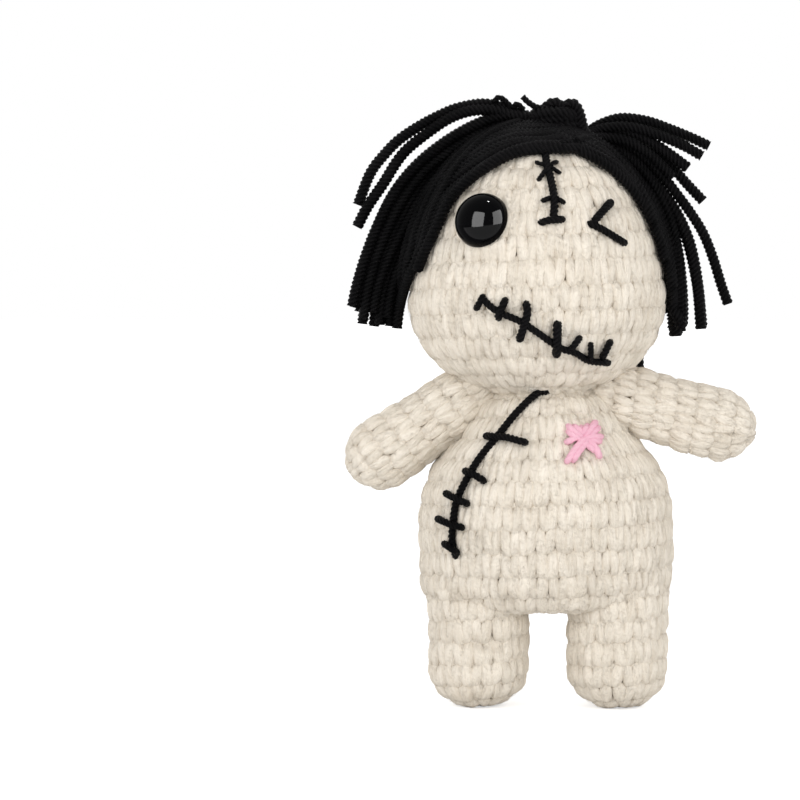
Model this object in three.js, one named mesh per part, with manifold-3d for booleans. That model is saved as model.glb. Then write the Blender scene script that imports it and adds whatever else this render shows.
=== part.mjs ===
// Crochet voodoo doll, about 156 mm tall, standing on two short legs.
// Millimetres, +Z up. The doll faces -Y, so its own left side is +X.
// Crocheted shells hold their own stuffing. Embroidery, eye and yarn hair are pieces laid on them.

import * as THREE from 'three';
import { mergeVertices } from 'three/addons/utils/BufferGeometryUtils.js';
import Module from 'manifold-3d';

const wasm = await Module();
wasm.setup();

// Fabric and gaps
const fabricThickness = 3;
const seamGap = 0.3;
const soleCutDepth = 0.5;

// Legs: short round tubes that stand on flattened feet
const hipHeight = 25.5;
const legRadius = 12.7;
const legSpacing = 35.5;
const legShiftX = 0.65;
const footRoundHeight = 10;

// Torso: a pear that is widest at the belly
const torsoHeight = 53.5;
const torsoHalfWidth = 32.4;
const torsoHalfDepth = 26;

// Neck: a ball of stuffing between the two open edges, with the seam round it
const neckBallRadius = 17.5;
const neckPivotDepth = 9;
const neckSeamYarn = 1.6;

// Head: the lower half is flatter than the upper half
const chinLift = 0.8;
const headHalfWidth = 32.7;
const headHalfDepth = 30;
const headChinDrop = 23.5;
const headCrownRise = 43.7;
const headShiftX = -2.4;

// Arms: two equal stuffed tubes sewn into the crease under the head
const armLength = 43;
const armRadius = 9.3;
const shoulderSpacing = 40;
const shoulderDrop = 2;

// Safety eye: a domed button with a shank and a washer behind the fabric
const eyeDiameter = 14;
const eyeDomeHeight = 5.2;
const eyeShankRadius = 2.4;
const eyeShankLength = 9;
const eyeWasherRadius = 6.6;
const eyeWasherThickness = 2;

// Yarn of the stitches and of the hair
const stitchYarn = 1.7;
const heartYarn = 1.9;
const lockThickness = 4.2;
const loopYarn = 2.5;
const hairOverhang = 17.3;
const knotRadius = 10.4;
const knotHeight = 5;
const loopRadius = 3.2;
const loopRise = 3.2;

// Heights that follow from the sizes above
const necklineHeight = hipHeight + torsoHeight;
const neckPivotHeight = necklineHeight - neckPivotDepth;
const chinHeight = necklineHeight + chinLift;
const headWidestHeight = chinHeight + headChinDrop;
const crownHeight = headWidestHeight + headCrownRise;
const neckPivot = new THREE.Vector3(0, 0, neckPivotHeight);
const hairReach = headHalfWidth + hairOverhang;

// Facets round the forms and the yarn. A hollow and its filling have one count, so that they fit.
const formSides = 28;
const hollowSides = 20;
const legSides = 18;
const legHollowSides = 12;
const armSides = 16;
const armHollowSides = 10;
const ballSides = 16;
const roomSides = 24;
const stitchSides = 5;
const loopSides = 6;

// How far the joints turn, in degrees. The arms and the head are shaped to clear each other over it.
const headTurnLimit = 20;
const headNodLimit = 8;
const headTiltLimit = 6;

// Materials
function fabricMaterial(color) {
  return new THREE.MeshStandardMaterial({ color, roughness: 0.95, metalness: 0 });
}
const creamYarn = fabricMaterial('#ece3d2');
const whiteFilling = fabricMaterial('#f6f4ef');
const blackYarn = fabricMaterial('#17161a');
const pinkYarn = fabricMaterial('#f79cc4');
const blackGloss = new THREE.MeshStandardMaterial({ color: '#08080a', roughness: 0.12, metalness: 0 });
const whitePlastic = new THREE.MeshStandardMaterial({ color: '#e6e6e2', roughness: 0.45, metalness: 0 });

// Closed solid from a closed geometry, with its shared vertices merged and its faces turned outward
function solidOf(geometry) {
  const bare = geometry.clone();
  bare.deleteAttribute('normal');
  bare.deleteAttribute('uv');
  const merged = mergeVertices(bare);
  const index = merged.index.array;
  const place = merged.attributes.position;
  const corner = [new THREE.Vector3(), new THREE.Vector3(), new THREE.Vector3()];
  const triangles = [];
  let volume = 0;
  for (let first = 0; first < index.length; first += 3) {
    const [a, b, c] = [index[first], index[first + 1], index[first + 2]];
    if (a === b || b === c || c === a) continue;
    [a, b, c].forEach((vertex, at) => corner[at].fromBufferAttribute(place, vertex));
    volume += corner[0].dot(corner[1].cross(corner[2]));
    triangles.push([a, b, c]);
  }
  const outward = volume > 0 ? triangles : triangles.map(([a, b, c]) => [a, c, b]);
  return new wasm.Manifold(new wasm.Mesh({
    numProp: 3,
    vertProperties: new Float32Array(place.array),
    triVerts: new Uint32Array(outward.flat()),
  }));
}

function geometryOf(solid) {
  const mesh = solid.getMesh();
  const geometry = new THREE.BufferGeometry();
  geometry.setAttribute('position', new THREE.BufferAttribute(mesh.vertProperties, 3));
  geometry.setIndex(new THREE.BufferAttribute(mesh.triVerts, 1));
  geometry.computeVertexNormals();
  return geometry;
}

function cutBy(solid, tools) {
  return tools.reduce((left, tool) => left.subtract(tool), solid);
}

// Mesh whose own origin is the given place, so that it turns about that place
function piece(name, geometry, material, origin = new THREE.Vector3()) {
  const mesh = new THREE.Mesh(geometry.translate(-origin.x, -origin.y, -origin.z), material.clone());
  mesh.name = name;
  mesh.position.copy(origin);
  return mesh;
}

// Round form about a vertical axis. Each row is [half width, half depth, height].
function roundForm(rows, sides) {
  const profile = rows.map(([width, , height]) => new THREE.Vector2(width, height));
  const form = new THREE.LatheGeometry(profile, sides).rotateX(Math.PI / 2);
  const place = form.attributes.position;
  for (let vertex = 0; vertex < place.count; vertex += 1) {
    const [width, depth] = rows[vertex % rows.length];
    if (width > 0) place.setY(vertex, place.getY(vertex) * depth / width);
  }
  return form;
}

function ballAt(center, radius, sides) {
  const ball = new THREE.SphereGeometry(radius, sides, sides / 2).rotateX(Math.PI / 2);
  return ball.translate(center.x, center.y, center.z);
}

// Head form. A positive inset gives the inside of the fabric, a negative one the form with a clearance.
const headRings = 14;
function headForm(inset, sides = formSides) {
  const rows = [];
  for (let ring = 0; ring <= headRings; ring += 1) {
    const angle = Math.PI * (ring / headRings - 0.5);
    const rise = angle < 0 ? headChinDrop : headCrownRise;
    const spread = ring % headRings === 0 ? 0 : Math.cos(angle);
    rows.push([
      (headHalfWidth - inset) * spread,
      (headHalfDepth - inset) * spread,
      headWidestHeight + (rise - inset) * Math.sin(angle),
    ]);
  }
  return roundForm(rows, sides).translate(headShiftX, 0, 0);
}

// Torso outline as shares of torso height, half width and half depth, from the crotch to the neckline
const torsoOutlineShares = [
  [0, 0.93, 0.66],
  [0.05, 0.965, 0.75],
  [0.14, 0.99, 0.86],
  [0.29, 1, 0.95],
  [0.44, 1, 1],
  [0.56, 0.972, 0.985],
  [0.65, 0.92, 0.94],
  [0.74, 0.84, 0.87],
  [0.82, 0.722, 0.79],
  [0.9, 0.62, 0.72],
  [0.965, 0.52, 0.655],
  [1, 0.44, 0.56],
];
function torsoRows(inset) {
  const rows = torsoOutlineShares.map(([heightShare, widthShare, depthShare]) => [
    torsoHalfWidth * widthShare - inset,
    torsoHalfDepth * depthShare - inset,
    hipHeight + inset + (torsoHeight - inset) * heightShare,
  ]);
  const bottom = rows[0][2];
  const top = rows[rows.length - 1][2];
  return [[0, 0, bottom], ...rows, [0, 0, top]];
}
function torsoForm(inset, sides = formSides) {
  return roundForm(torsoRows(inset), sides);
}

// Leg form: a ball at the hip that the torso's socket fits round, a straight shank and a rounded foot
const legHipSteps = 5;
const legFootSteps = 4;
const hipRimAngle = THREE.MathUtils.degToRad(15);
function legForm(inset, sides = legSides, openTop = 0) {
  const rows = [];
  const footCenter = footRoundHeight - soleCutDepth;
  for (let step = 0; step <= legFootSteps; step += 1) {
    const angle = Math.PI / 2 * (step / legFootSteps - 1);
    const spread = step === 0 ? 0 : Math.cos(angle);
    const radius = (legRadius - inset) * spread;
    rows.push([radius, radius, footCenter + (footRoundHeight - inset) * Math.sin(angle)]);
  }
  for (let step = 0; step <= legHipSteps; step += 1) {
    const angle = -hipRimAngle + (Math.PI / 2 + hipRimAngle) * step / legHipSteps;
    const spread = step === legHipSteps ? 0 : Math.cos(angle);
    const radius = (legRadius - inset) * spread;
    const rise = (legRadius - inset) * Math.sin(angle) + openTop * step / legHipSteps;
    rows.push([radius, radius, hipHeight + rise]);
  }
  return roundForm(rows, sides);
}

// Arm form along +Z, as shares of arm length and radius from the sewn root to the hand
const armOutlineShares = [
  [0, 0],
  [0.03, 0.42],
  [0.1, 0.73],
  [0.2, 0.89],
  [0.34, 0.93],
  [0.52, 0.93],
  [0.7, 1],
  [0.82, 0.98],
  [0.91, 0.8],
  [0.97, 0.48],
  [1, 0],
];
function armForm(inset, sides = armSides) {
  const rows = armOutlineShares.map(([alongShare, radiusShare]) => {
    const radius = radiusShare > 0 ? armRadius * radiusShare - inset : 0;
    return [radius, radius, (armLength - inset) * alongShare];
  });
  return roundForm(rows.filter(([radius], at) => radius > 0 || at === 0 || at === rows.length - 1), sides);
}

// Bore of an arm: as wide as the inside of the tube, and open through the sewn end
const boreStartShare = 0.15;
function armBore(inset, sides = armHollowSides) {
  const rows = armOutlineShares
    .filter(([alongShare, radiusShare]) => alongShare > boreStartShare && armRadius * radiusShare > 2 * inset)
    .map(([alongShare, radiusShare]) => {
      const radius = armRadius * radiusShare - inset;
      return [radius, radius, armLength * alongShare];
    });
  const mouth = rows[0][0];
  const end = armLength - inset;
  return roundForm([[0, 0, -inset], [mouth, mouth, -inset], ...rows, [0, 0, end]], sides);
}

// Turn about an axis through a pivot
function turnAbout(pivot, axis, degrees) {
  const turn = new THREE.Matrix4().makeRotationAxis(axis, THREE.MathUtils.degToRad(degrees));
  const out = new THREE.Matrix4().makeTranslation(pivot.x, pivot.y, pivot.z);
  const back = new THREE.Matrix4().makeTranslation(-pivot.x, -pivot.y, -pivot.z);
  return out.multiply(turn).multiply(back);
}
const axisX = new THREE.Vector3(1, 0, 0);
const axisY = new THREE.Vector3(0, 1, 0);
const axisZ = new THREE.Vector3(0, 0, 1);

// Where the head stands with its three joints at shares of their limits: turn, then nod, then tilt
function headPose(turnShare, nodShare, tiltShare) {
  return turnAbout(neckPivot, axisZ, headTurnLimit * turnShare)
    .multiply(turnAbout(neckPivot, axisX, headNodLimit * nodShare))
    .multiply(turnAbout(neckPivot, axisY, headTiltLimit * tiltShare));
}
const headRest = [0, 0, 0];
const headPoseShares = [headRest, [0, 0, 1], [0, 0, -1], [0, 1, 0], [0, -1, 0], [1, 1, 1], [-1, -1, -1]];

// Neck: stuffing ball, seam ring and the room that both need
const neckSeamHeightShare = 0.98;
function torsoRowAt(height) {
  const rows = torsoRows(0).slice(1, -1);
  const above = Math.max(1, rows.findIndex((row) => row[2] >= height));
  const [low, high] = [rows[above - 1], rows[above]];
  const share = THREE.MathUtils.clamp((height - low[2]) / (high[2] - low[2]), 0, 1);
  return [0, 1].map((side) => THREE.MathUtils.lerp(low[side], high[side], share));
}
const neckSeamHeight = hipHeight + torsoHeight * neckSeamHeightShare;
const neckSeamRadius = torsoRowAt(neckSeamHeight)[0] + (neckSeamYarn / 2 + seamGap) * Math.SQRT2;
const ringSides = 5;
function neckRing(clearance) {
  const section = [];
  for (let side = 0; side <= ringSides; side += 1) {
    const angle = 2 * Math.PI * (side % ringSides) / ringSides;
    const radius = neckSeamYarn / 2 + clearance;
    section.push(new THREE.Vector2(
      neckSeamRadius + radius * Math.cos(angle),
      neckSeamHeight + radius * Math.sin(angle),
    ));
  }
  return new THREE.LatheGeometry(section, formSides).rotateX(Math.PI / 2);
}
const neckRoom = solidOf(ballAt(neckPivot, neckBallRadius + seamGap, roomSides));

// Front surface of a form: how far forward it lies at a place across and up
function headFront(x, z) {
  const rise = z < headWidestHeight ? headChinDrop : headCrownRise;
  const spread = Math.sqrt(Math.max(0, 1 - ((z - headWidestHeight) / rise) ** 2));
  const side = (x - headShiftX) / (headHalfWidth * spread);
  return -headHalfDepth * spread * Math.sqrt(Math.max(0, 1 - side * side));
}
function torsoFront(x, z) {
  const [width, depth] = torsoRowAt(z);
  return -depth * Math.sqrt(Math.max(0, 1 - (x / width) ** 2));
}
function outwardNormal(front, x, z) {
  const probe = stitchYarn / 4;
  const slopeAcross = (front(x + probe, z) - front(x - probe, z)) / (2 * probe);
  const slopeUp = (front(x, z + probe) - front(x, z - probe)) / (2 * probe);
  return new THREE.Vector3(slopeAcross, -1, slopeUp).normalize();
}

// Round tube along a curve through points
function tube(points, radius, sides, steps) {
  const section = new THREE.Shape();
  for (let side = 0; side <= sides; side += 1) {
    const angle = 2 * Math.PI * (side % sides) / sides;
    const place = [radius * Math.cos(angle), radius * Math.sin(angle)];
    if (side === 0) section.moveTo(...place);
    else if (side < sides) section.lineTo(...place);
    else section.closePath();
  }
  const extrudePath = new THREE.CatmullRomCurve3(points);
  return new THREE.ExtrudeGeometry(section, { steps, bevelEnabled: false, extrudePath });
}

// A stitch lies on a surface and rises over each stitch laid before it. Places are [across, up].
// The tube's steps are a share of the yarn's thickness long, in a drawn line and in a single stitch.
const samplesPerStep = 4;
const lineStepShare = 1.3;
const stitchStepShare = 0.75;
const crossingGap = 1.5 * seamGap;
function layStitch(name, places, front, yarn, material, laid) {
  const stepShare = places.length > 2 ? lineStepShare : stitchStepShare;
  const flat = places.map(([x, z]) => new THREE.Vector3(x, 0, z));
  const route = new THREE.CatmullRomCurve3(flat);
  const radius = yarn / 2;
  const steps = Math.max(3, Math.round(route.getLength() / (yarn * stepShare)));
  const samples = route.getSpacedPoints(steps * samplesPerStep).map(({ x, z }) => {
    const base = new THREE.Vector3(x, front(x, z), z);
    let height = radius + seamGap;
    for (const under of laid) {
      const reach = under.radius + radius + crossingGap;
      const apart = under.base.distanceTo(base);
      if (apart < reach) height = Math.max(height, under.height + Math.sqrt(reach ** 2 - apart ** 2));
    }
    return { base, height, radius, top: base.clone().addScaledVector(outwardNormal(front, x, z), height) };
  });
  laid.push(...samples);
  const line = samples.filter((sample, at) => at % samplesPerStep === 0).map(({ top }) => top);
  return piece(name, tube(line, radius, stitchSides, steps), material);
}

// Place on the face, in shares of the head's half width from the middle of its widest round
function facePlace([acrossShare, upShare]) {
  return [headShiftX + headHalfWidth * acrossShare, headWidestHeight + headHalfWidth * upShare];
}

// Eye: its axis stands square on the head's surface
const eyePlaceShares = [-0.435, 0.652];
const [eyeX, eyeZ] = facePlace(eyePlaceShares);
const eyeSeat = new THREE.Vector3(eyeX, headFront(eyeX, eyeZ), eyeZ);
const eyeTurn = new THREE.Quaternion().setFromUnitVectors(axisZ, outwardNormal(headFront, eyeX, eyeZ));
function atEye(geometry) {
  return geometry.applyQuaternion(eyeTurn).translate(eyeSeat.x, eyeSeat.y, eyeSeat.z);
}
const eyeRings = 5;
function eyeButton() {
  const rows = [[0, -eyeShankLength], [eyeShankRadius, -eyeShankLength], [eyeShankRadius, seamGap]];
  for (let ring = 0; ring <= eyeRings; ring += 1) {
    const angle = Math.PI / 2 * ring / eyeRings;
    const spread = ring === eyeRings ? 0 : Math.cos(angle);
    rows.push([eyeDiameter / 2 * spread, seamGap + eyeDomeHeight * Math.sin(angle)]);
  }
  const profile = rows.map(([radius, height]) => new THREE.Vector2(radius, height));
  return atEye(new THREE.LatheGeometry(profile, roomSides).rotateX(Math.PI / 2));
}
const washerSagShare = 0.65;
const washerTop = -fabricThickness - seamGap - washerSagShare * eyeWasherRadius ** 2 / headHalfDepth;
function eyeWasher(clearance) {
  const bore = clearance > 0 ? 0 : eyeShankRadius + seamGap;
  const rim = eyeWasherRadius + clearance;
  const top = washerTop + clearance;
  const bottom = washerTop - eyeWasherThickness - clearance;
  const profile = [[bore, bottom], [rim, bottom], [rim, top], [bore, top]];
  if (bore > 0) profile.push(profile[0]);
  const points = profile.map(([radius, height]) => new THREE.Vector2(radius, height));
  return atEye(new THREE.LatheGeometry(points, hollowSides).rotateX(Math.PI / 2));
}
function eyeShankRoom() {
  const radius = eyeShankRadius + seamGap;
  const below = eyeShankLength + seamGap;
  return atEye(new THREE.CylinderGeometry(radius, radius, 2 * below, ballSides).rotateX(Math.PI / 2));
}

// Head shell and stuffing, open where the neck ball passes and bored for the eye's shank
const head = new THREE.Group();
const shankRoom = solidOf(eyeShankRoom());
const headHollow = solidOf(headForm(fabricThickness, hollowSides));
const headShell = cutBy(solidOf(headForm(0)), [headHollow, neckRoom, shankRoom]);
const headFilling = cutBy(
  solidOf(headForm(fabricThickness + seamGap, hollowSides)),
  [neckRoom, shankRoom, solidOf(eyeWasher(seamGap))],
);
head.add(
  piece('head_shell', geometryOf(headShell), creamYarn, neckPivot),
  piece('head_stuffing', geometryOf(headFilling), whiteFilling, neckPivot),
  piece('eye_button', eyeButton(), blackGloss, eyeSeat),
  piece('eye_washer', eyeWasher(0), whitePlastic, eyeSeat),
);

// Embroidery on the face. Each row is the path of one stitch or line.
const scarShares = [[0.063, 1.13], [0.086, 1.071], [0.133, 0.845], [0.141, 0.766], [0.125, 0.657]];
const mouthShares = [
  [-0.403, 0.008], [-0.293, -0.074], [-0.137, -0.141], [-0.086, -0.18], [0.094, -0.282],
  [0.172, -0.368], [0.25, -0.344], [0.356, -0.422], [0.461, -0.45], [0.563, -0.469],
];
const faceStitchShares = {
  wink_upper_stitch: [[0.576, 0.795], [0.434, 0.62]],
  wink_lower_stitch: [[0.395, 0.61], [0.693, 0.455]],
  scar_line: scarShares,
  scar_star_stitch_1: [[-0.02, 1.095], [0.196, 1.009]],
  scar_star_stitch_2: [[0, 0.946], [0.188, 1.071]],
  scar_middle_stitch: [[0.039, 0.81], [0.235, 0.785]],
  scar_bottom_stitch: [[0.016, 0.626], [0.235, 0.649]],
  mouth_line: mouthShares,
  mouth_stitch_1: [[-0.422, 0.063], [-0.48, -0.047]],
  mouth_stitch_2: [[-0.235, 0.045], [-0.297, -0.15]],
  mouth_stitch_3: [[-0.078, 0], [-0.133, -0.301]],
  mouth_stitch_4: [[0.161, -0.149], [0.161, -0.44]],
  mouth_stitch_5: [[0.345, -0.25], [0.24, -0.43]],
  mouth_stitch_6: [[0.427, -0.305], [0.422, -0.52]],
  mouth_stitch_7: [[0.585, -0.301], [0.5, -0.54]],
};
const laidOnFace = [];
for (const [name, places] of Object.entries(faceStitchShares)) {
  head.add(layStitch(name, places.map(facePlace), headFront, stitchYarn, blackYarn, laidOnFace));
}

// Hair knot on the crown, with two loops of yarn and a cut end standing up from it
const knotSteps = 4;
const knotShoulderShare = 0.7;
const knotBase = [];
for (let step = 0; step <= knotSteps; step += 1) {
  const out = knotRadius * step / knotSteps;
  const rise = headCrownRise * Math.sqrt(1 - (out / headHalfWidth) ** 2);
  knotBase.push([out, headWidestHeight + rise + seamGap]);
}
const knotTop = crownHeight + knotHeight;
const knotRim = knotBase[knotSteps][1] + knotHeight;
const knotShoulder = knotRadius * knotShoulderShare;
const knotProfile = [...knotBase, [knotRadius, knotRim], [knotShoulder, knotTop], [0, knotTop]];
const knotPoints = knotProfile.map(([radius, height]) => new THREE.Vector2(radius, height));
const knot = new THREE.LatheGeometry(knotPoints, hollowSides).rotateX(Math.PI / 2);
const knotOrigin = new THREE.Vector3(headShiftX, 0, knotTop);
head.add(piece('hair_knot', knot.translate(headShiftX, 0, 0), blackYarn, knotOrigin));

const loopFoot = knotTop + seamGap;
const loopArc = 8;
const loopTable = [
  { name: 'hair_loop_1', acrossShare: 0.12, depthShare: -0.3, turn: 10 },
  { name: 'hair_loop_2', acrossShare: 0.42, depthShare: 0.3, turn: -25 },
];
for (const { name, acrossShare, depthShare, turn } of loopTable) {
  const arc = [];
  for (let step = 0; step <= loopArc; step += 1) {
    const angle = Math.PI * step / loopArc;
    arc.push(new THREE.Vector3(loopRadius * Math.cos(angle), 0, loopRise * Math.sin(angle)));
  }
  const loop = tube(arc, loopYarn / 2, loopSides, 2 * loopArc).rotateZ(THREE.MathUtils.degToRad(turn));
  const middle = new THREE.Vector3(headShiftX + knotRadius * acrossShare, knotRadius * depthShare, loopFoot);
  head.add(piece(name, loop.translate(middle.x, middle.y, middle.z), blackYarn, middle));
}
const wispShares = [[-0.42, -0.25, 0], [-0.47, -0.25, 0.6], [-0.66, -0.3, 1]];
const wisp = wispShares.map(([acrossShare, depthShare, riseShare]) => new THREE.Vector3(
  headShiftX + knotRadius * acrossShare,
  knotRadius * depthShare,
  loopFoot + loopRise * riseShare,
));
const wispSteps = 5;
head.add(piece('hair_cut_end', tube(wisp, loopYarn / 2, loopSides, wispSteps), blackYarn, wisp[0]));

// Locks of hair start round the knot, arch over the head and hang to their tips. Turns are in degrees
// from +X towards the back. Reach is a share of hairReach, the arch and the tip are shares of the
// height from the chin to the crown.
const lockTable = [
  { name: 'left_lock_1', startTurn: -70, endTurn: -22, reachShare: 0.75, archShare: 1.06, tipShare: 0.23 },
  { name: 'left_lock_2', startTurn: -43, endTurn: -8, reachShare: 0.86, archShare: 1.06, tipShare: 0.25 },
  { name: 'left_lock_3', startTurn: -16, endTurn: 5, reachShare: 0.94, archShare: 1.065, tipShare: 0.85 },
  { name: 'left_lock_4', startTurn: 11, endTurn: 18, reachShare: 1, archShare: 1.06, tipShare: 0.34 },
  { name: 'left_lock_5', startTurn: 34, endTurn: 33, reachShare: 0.98, archShare: 1.05, tipShare: 0.73 },
  { name: 'back_lock_1', startTurn: 68, endTurn: 47, reachShare: 0.72, archShare: 1.05, tipShare: 0.12 },
  { name: 'back_lock_2', startTurn: 90, endTurn: 90, reachShare: 0.72, archShare: 1.05, tipShare: 0.1 },
  { name: 'back_lock_3', startTurn: 112, endTurn: 130, reachShare: 0.72, archShare: 1.05, tipShare: 0.13 },
  { name: 'right_lock_5', startTurn: 146, endTurn: 150, reachShare: 0.98, archShare: 1.05, tipShare: 0.64 },
  { name: 'right_lock_4', startTurn: 169, endTurn: 166, reachShare: 0.96, archShare: 1.06, tipShare: 0.32 },
  { name: 'right_lock_3', startTurn: 196, endTurn: 180, reachShare: 0.92, archShare: 1.075, tipShare: 0.72 },
  { name: 'right_lock_2', startTurn: 223, endTurn: 191, reachShare: 0.9, archShare: 1.07, tipShare: 0.27 },
  { name: 'right_lock_1', startTurn: 250, endTurn: 205, reachShare: 0.76, archShare: 1.06, tipShare: 0.26 },
];
const lockSteps = 9;
const lockTubeSteps = 12;
const lockClearance = lockThickness / 2 + seamGap;
const lockStart = knotRadius + lockThickness / 4 + seamGap;
function clearOfHead(place) {
  const rise = place.z < headWidestHeight ? headChinDrop : headCrownRise;
  const within = Math.hypot(
    (place.x - headShiftX) / (headHalfWidth + lockClearance),
    place.y / (headHalfDepth + lockClearance),
    (place.z - headWidestHeight) / (rise + lockClearance),
  );
  if (within >= 1 || place.z < headWidestHeight) return place;
  const middle = new THREE.Vector3(headShiftX, 0, headWidestHeight);
  return place.sub(middle).divideScalar(within).add(middle);
}
function lockPath({ startTurn, endTurn, reachShare, archShare, tipShare }) {
  const reach = hairReach * reachShare;
  const chinToCrown = crownHeight - chinHeight;
  const tip = chinHeight + chinToCrown * tipShare;
  const arch = chinHeight + chinToCrown * archShare - tip;
  const startAngle = Math.asin(lockStart / reach);
  const path = [];
  for (let step = 0; step <= lockSteps; step += 1) {
    const share = step / lockSteps;
    const angle = THREE.MathUtils.lerp(startAngle, Math.PI / 2, share);
    const turn = THREE.MathUtils.degToRad(THREE.MathUtils.lerp(startTurn, endTurn, Math.sqrt(share)));
    const out = reach * Math.sin(angle);
    path.push(clearOfHead(new THREE.Vector3(
      headShiftX + out * Math.cos(turn),
      out * Math.sin(turn),
      tip + arch * Math.cos(angle),
    )));
  }
  return path;
}
for (const lock of lockTable) {
  const path = lockPath(lock);
  const strand = tube(path, lockThickness / 2, stitchSides, lockTubeSteps);
  head.add(piece(lock.name, strand, blackYarn, path[0]));
}

// Neck: the seam yarn round the neckline and the stuffing ball that the head sits on
const neck = new THREE.Group();
neck.add(
  piece('neck_seam', neckRing(0), creamYarn, neckPivot),
  piece('neck_stuffing', ballAt(neckPivot, neckBallRadius, ballSides), whiteFilling, neckPivot),
);

// Legs, with open tops, and the rooms for them in the torso
const torso = new THREE.Group();
const limbs = new THREE.Group();
const soleRoomSpan = 3 * legSpacing;
const soleRoom = solidOf(
  new THREE.BoxGeometry(soleRoomSpan, soleRoomSpan, 2 * soleCutDepth).translate(0, 0, -soleCutDepth),
);
const legRooms = [];
for (const [label, side] of [['left', 1], ['right', -1]]) {
  const hip = new THREE.Vector3(legShiftX + side * legSpacing / 2, 0, hipHeight);
  const legOuter = legForm(0).translate(hip.x, 0, 0);
  const legHollow = legForm(fabricThickness, legHollowSides, 2 * fabricThickness).translate(hip.x, 0, 0);
  const legFilling = legForm(fabricThickness + seamGap, legHollowSides).translate(hip.x, 0, 0);
  const legShell = cutBy(solidOf(legOuter), [solidOf(legHollow), soleRoom]);
  legRooms.push(solidOf(ballAt(hip, legRadius + seamGap, hollowSides)));
  limbs.add(
    piece(`${label}_leg_shell`, geometryOf(legShell), creamYarn, hip),
    piece(`${label}_leg_stuffing`, legFilling, whiteFilling, hip),
  );
}

// Torso shell and stuffing, open at the neck and at both hips
const torsoRooms = [neckRoom, ...legRooms];
const torsoHollow = solidOf(torsoForm(fabricThickness, hollowSides));
const torsoShell = cutBy(solidOf(torsoForm(0)), [torsoHollow, ...torsoRooms]);
const torsoFilling = cutBy(solidOf(torsoForm(fabricThickness + seamGap, hollowSides)), torsoRooms);
torso.add(
  piece('torso_shell', geometryOf(torsoShell), creamYarn),
  piece('torso_stuffing', geometryOf(torsoFilling), whiteFilling),
);

// Embroidery on the torso, in shares of its half width across and of its height up from the crotch
const torsoStitchShares = {
  body_seam_line: [
    [-0.1, 0.955], [-0.371, 0.828], [-0.553, 0.69], [-0.698, 0.523],
    [-0.734, 0.4], [-0.742, 0.318], [-0.71, 0.241],
  ],
  body_seam_stitch_1: [[-0.474, 0.819], [-0.154, 0.785]],
  body_seam_stitch_2: [[-0.66, 0.665], [-0.47, 0.604]],
  body_seam_stitch_3: [[-0.789, 0.542], [-0.6, 0.494]],
  body_seam_stitch_4: [[-0.84, 0.422], [-0.64, 0.381]],
  body_seam_stitch_5: [[-0.82, 0.303], [-0.65, 0.26]],
};
// The pink stitches start this share of their yarn's thickness from the middle of the heart.
const heartCenterShares = [0.3, 0.814];
const heartStartShare = 1.4;
const heartRayShares = {
  heart_stitch_1: [0.158, 0.872],
  heart_stitch_2: [0.339, 0.9],
  heart_stitch_3: [0.445, 0.809],
  heart_stitch_4: [0.426, 0.718],
  heart_stitch_5: [0.174, 0.693],
};
function torsoPlace([acrossShare, upShare]) {
  return [torsoHalfWidth * acrossShare, hipHeight + torsoHeight * upShare];
}
const laidOnTorso = [];
for (const [name, places] of Object.entries(torsoStitchShares)) {
  torso.add(layStitch(name, places.map(torsoPlace), torsoFront, stitchYarn, blackYarn, laidOnTorso));
}
const [heartX, heartZ] = torsoPlace(heartCenterShares);
for (const [name, tipShares] of Object.entries(heartRayShares)) {
  const [tipX, tipZ] = torsoPlace(tipShares);
  const lead = heartStartShare * heartYarn / Math.hypot(tipX - heartX, tipZ - heartZ);
  const start = [THREE.MathUtils.lerp(heartX, tipX, lead), THREE.MathUtils.lerp(heartZ, tipZ, lead)];
  torso.add(layStitch(name, [start, [tipX, tipZ]], torsoFront, heartYarn, pinkYarn, laidOnTorso));
}

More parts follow.
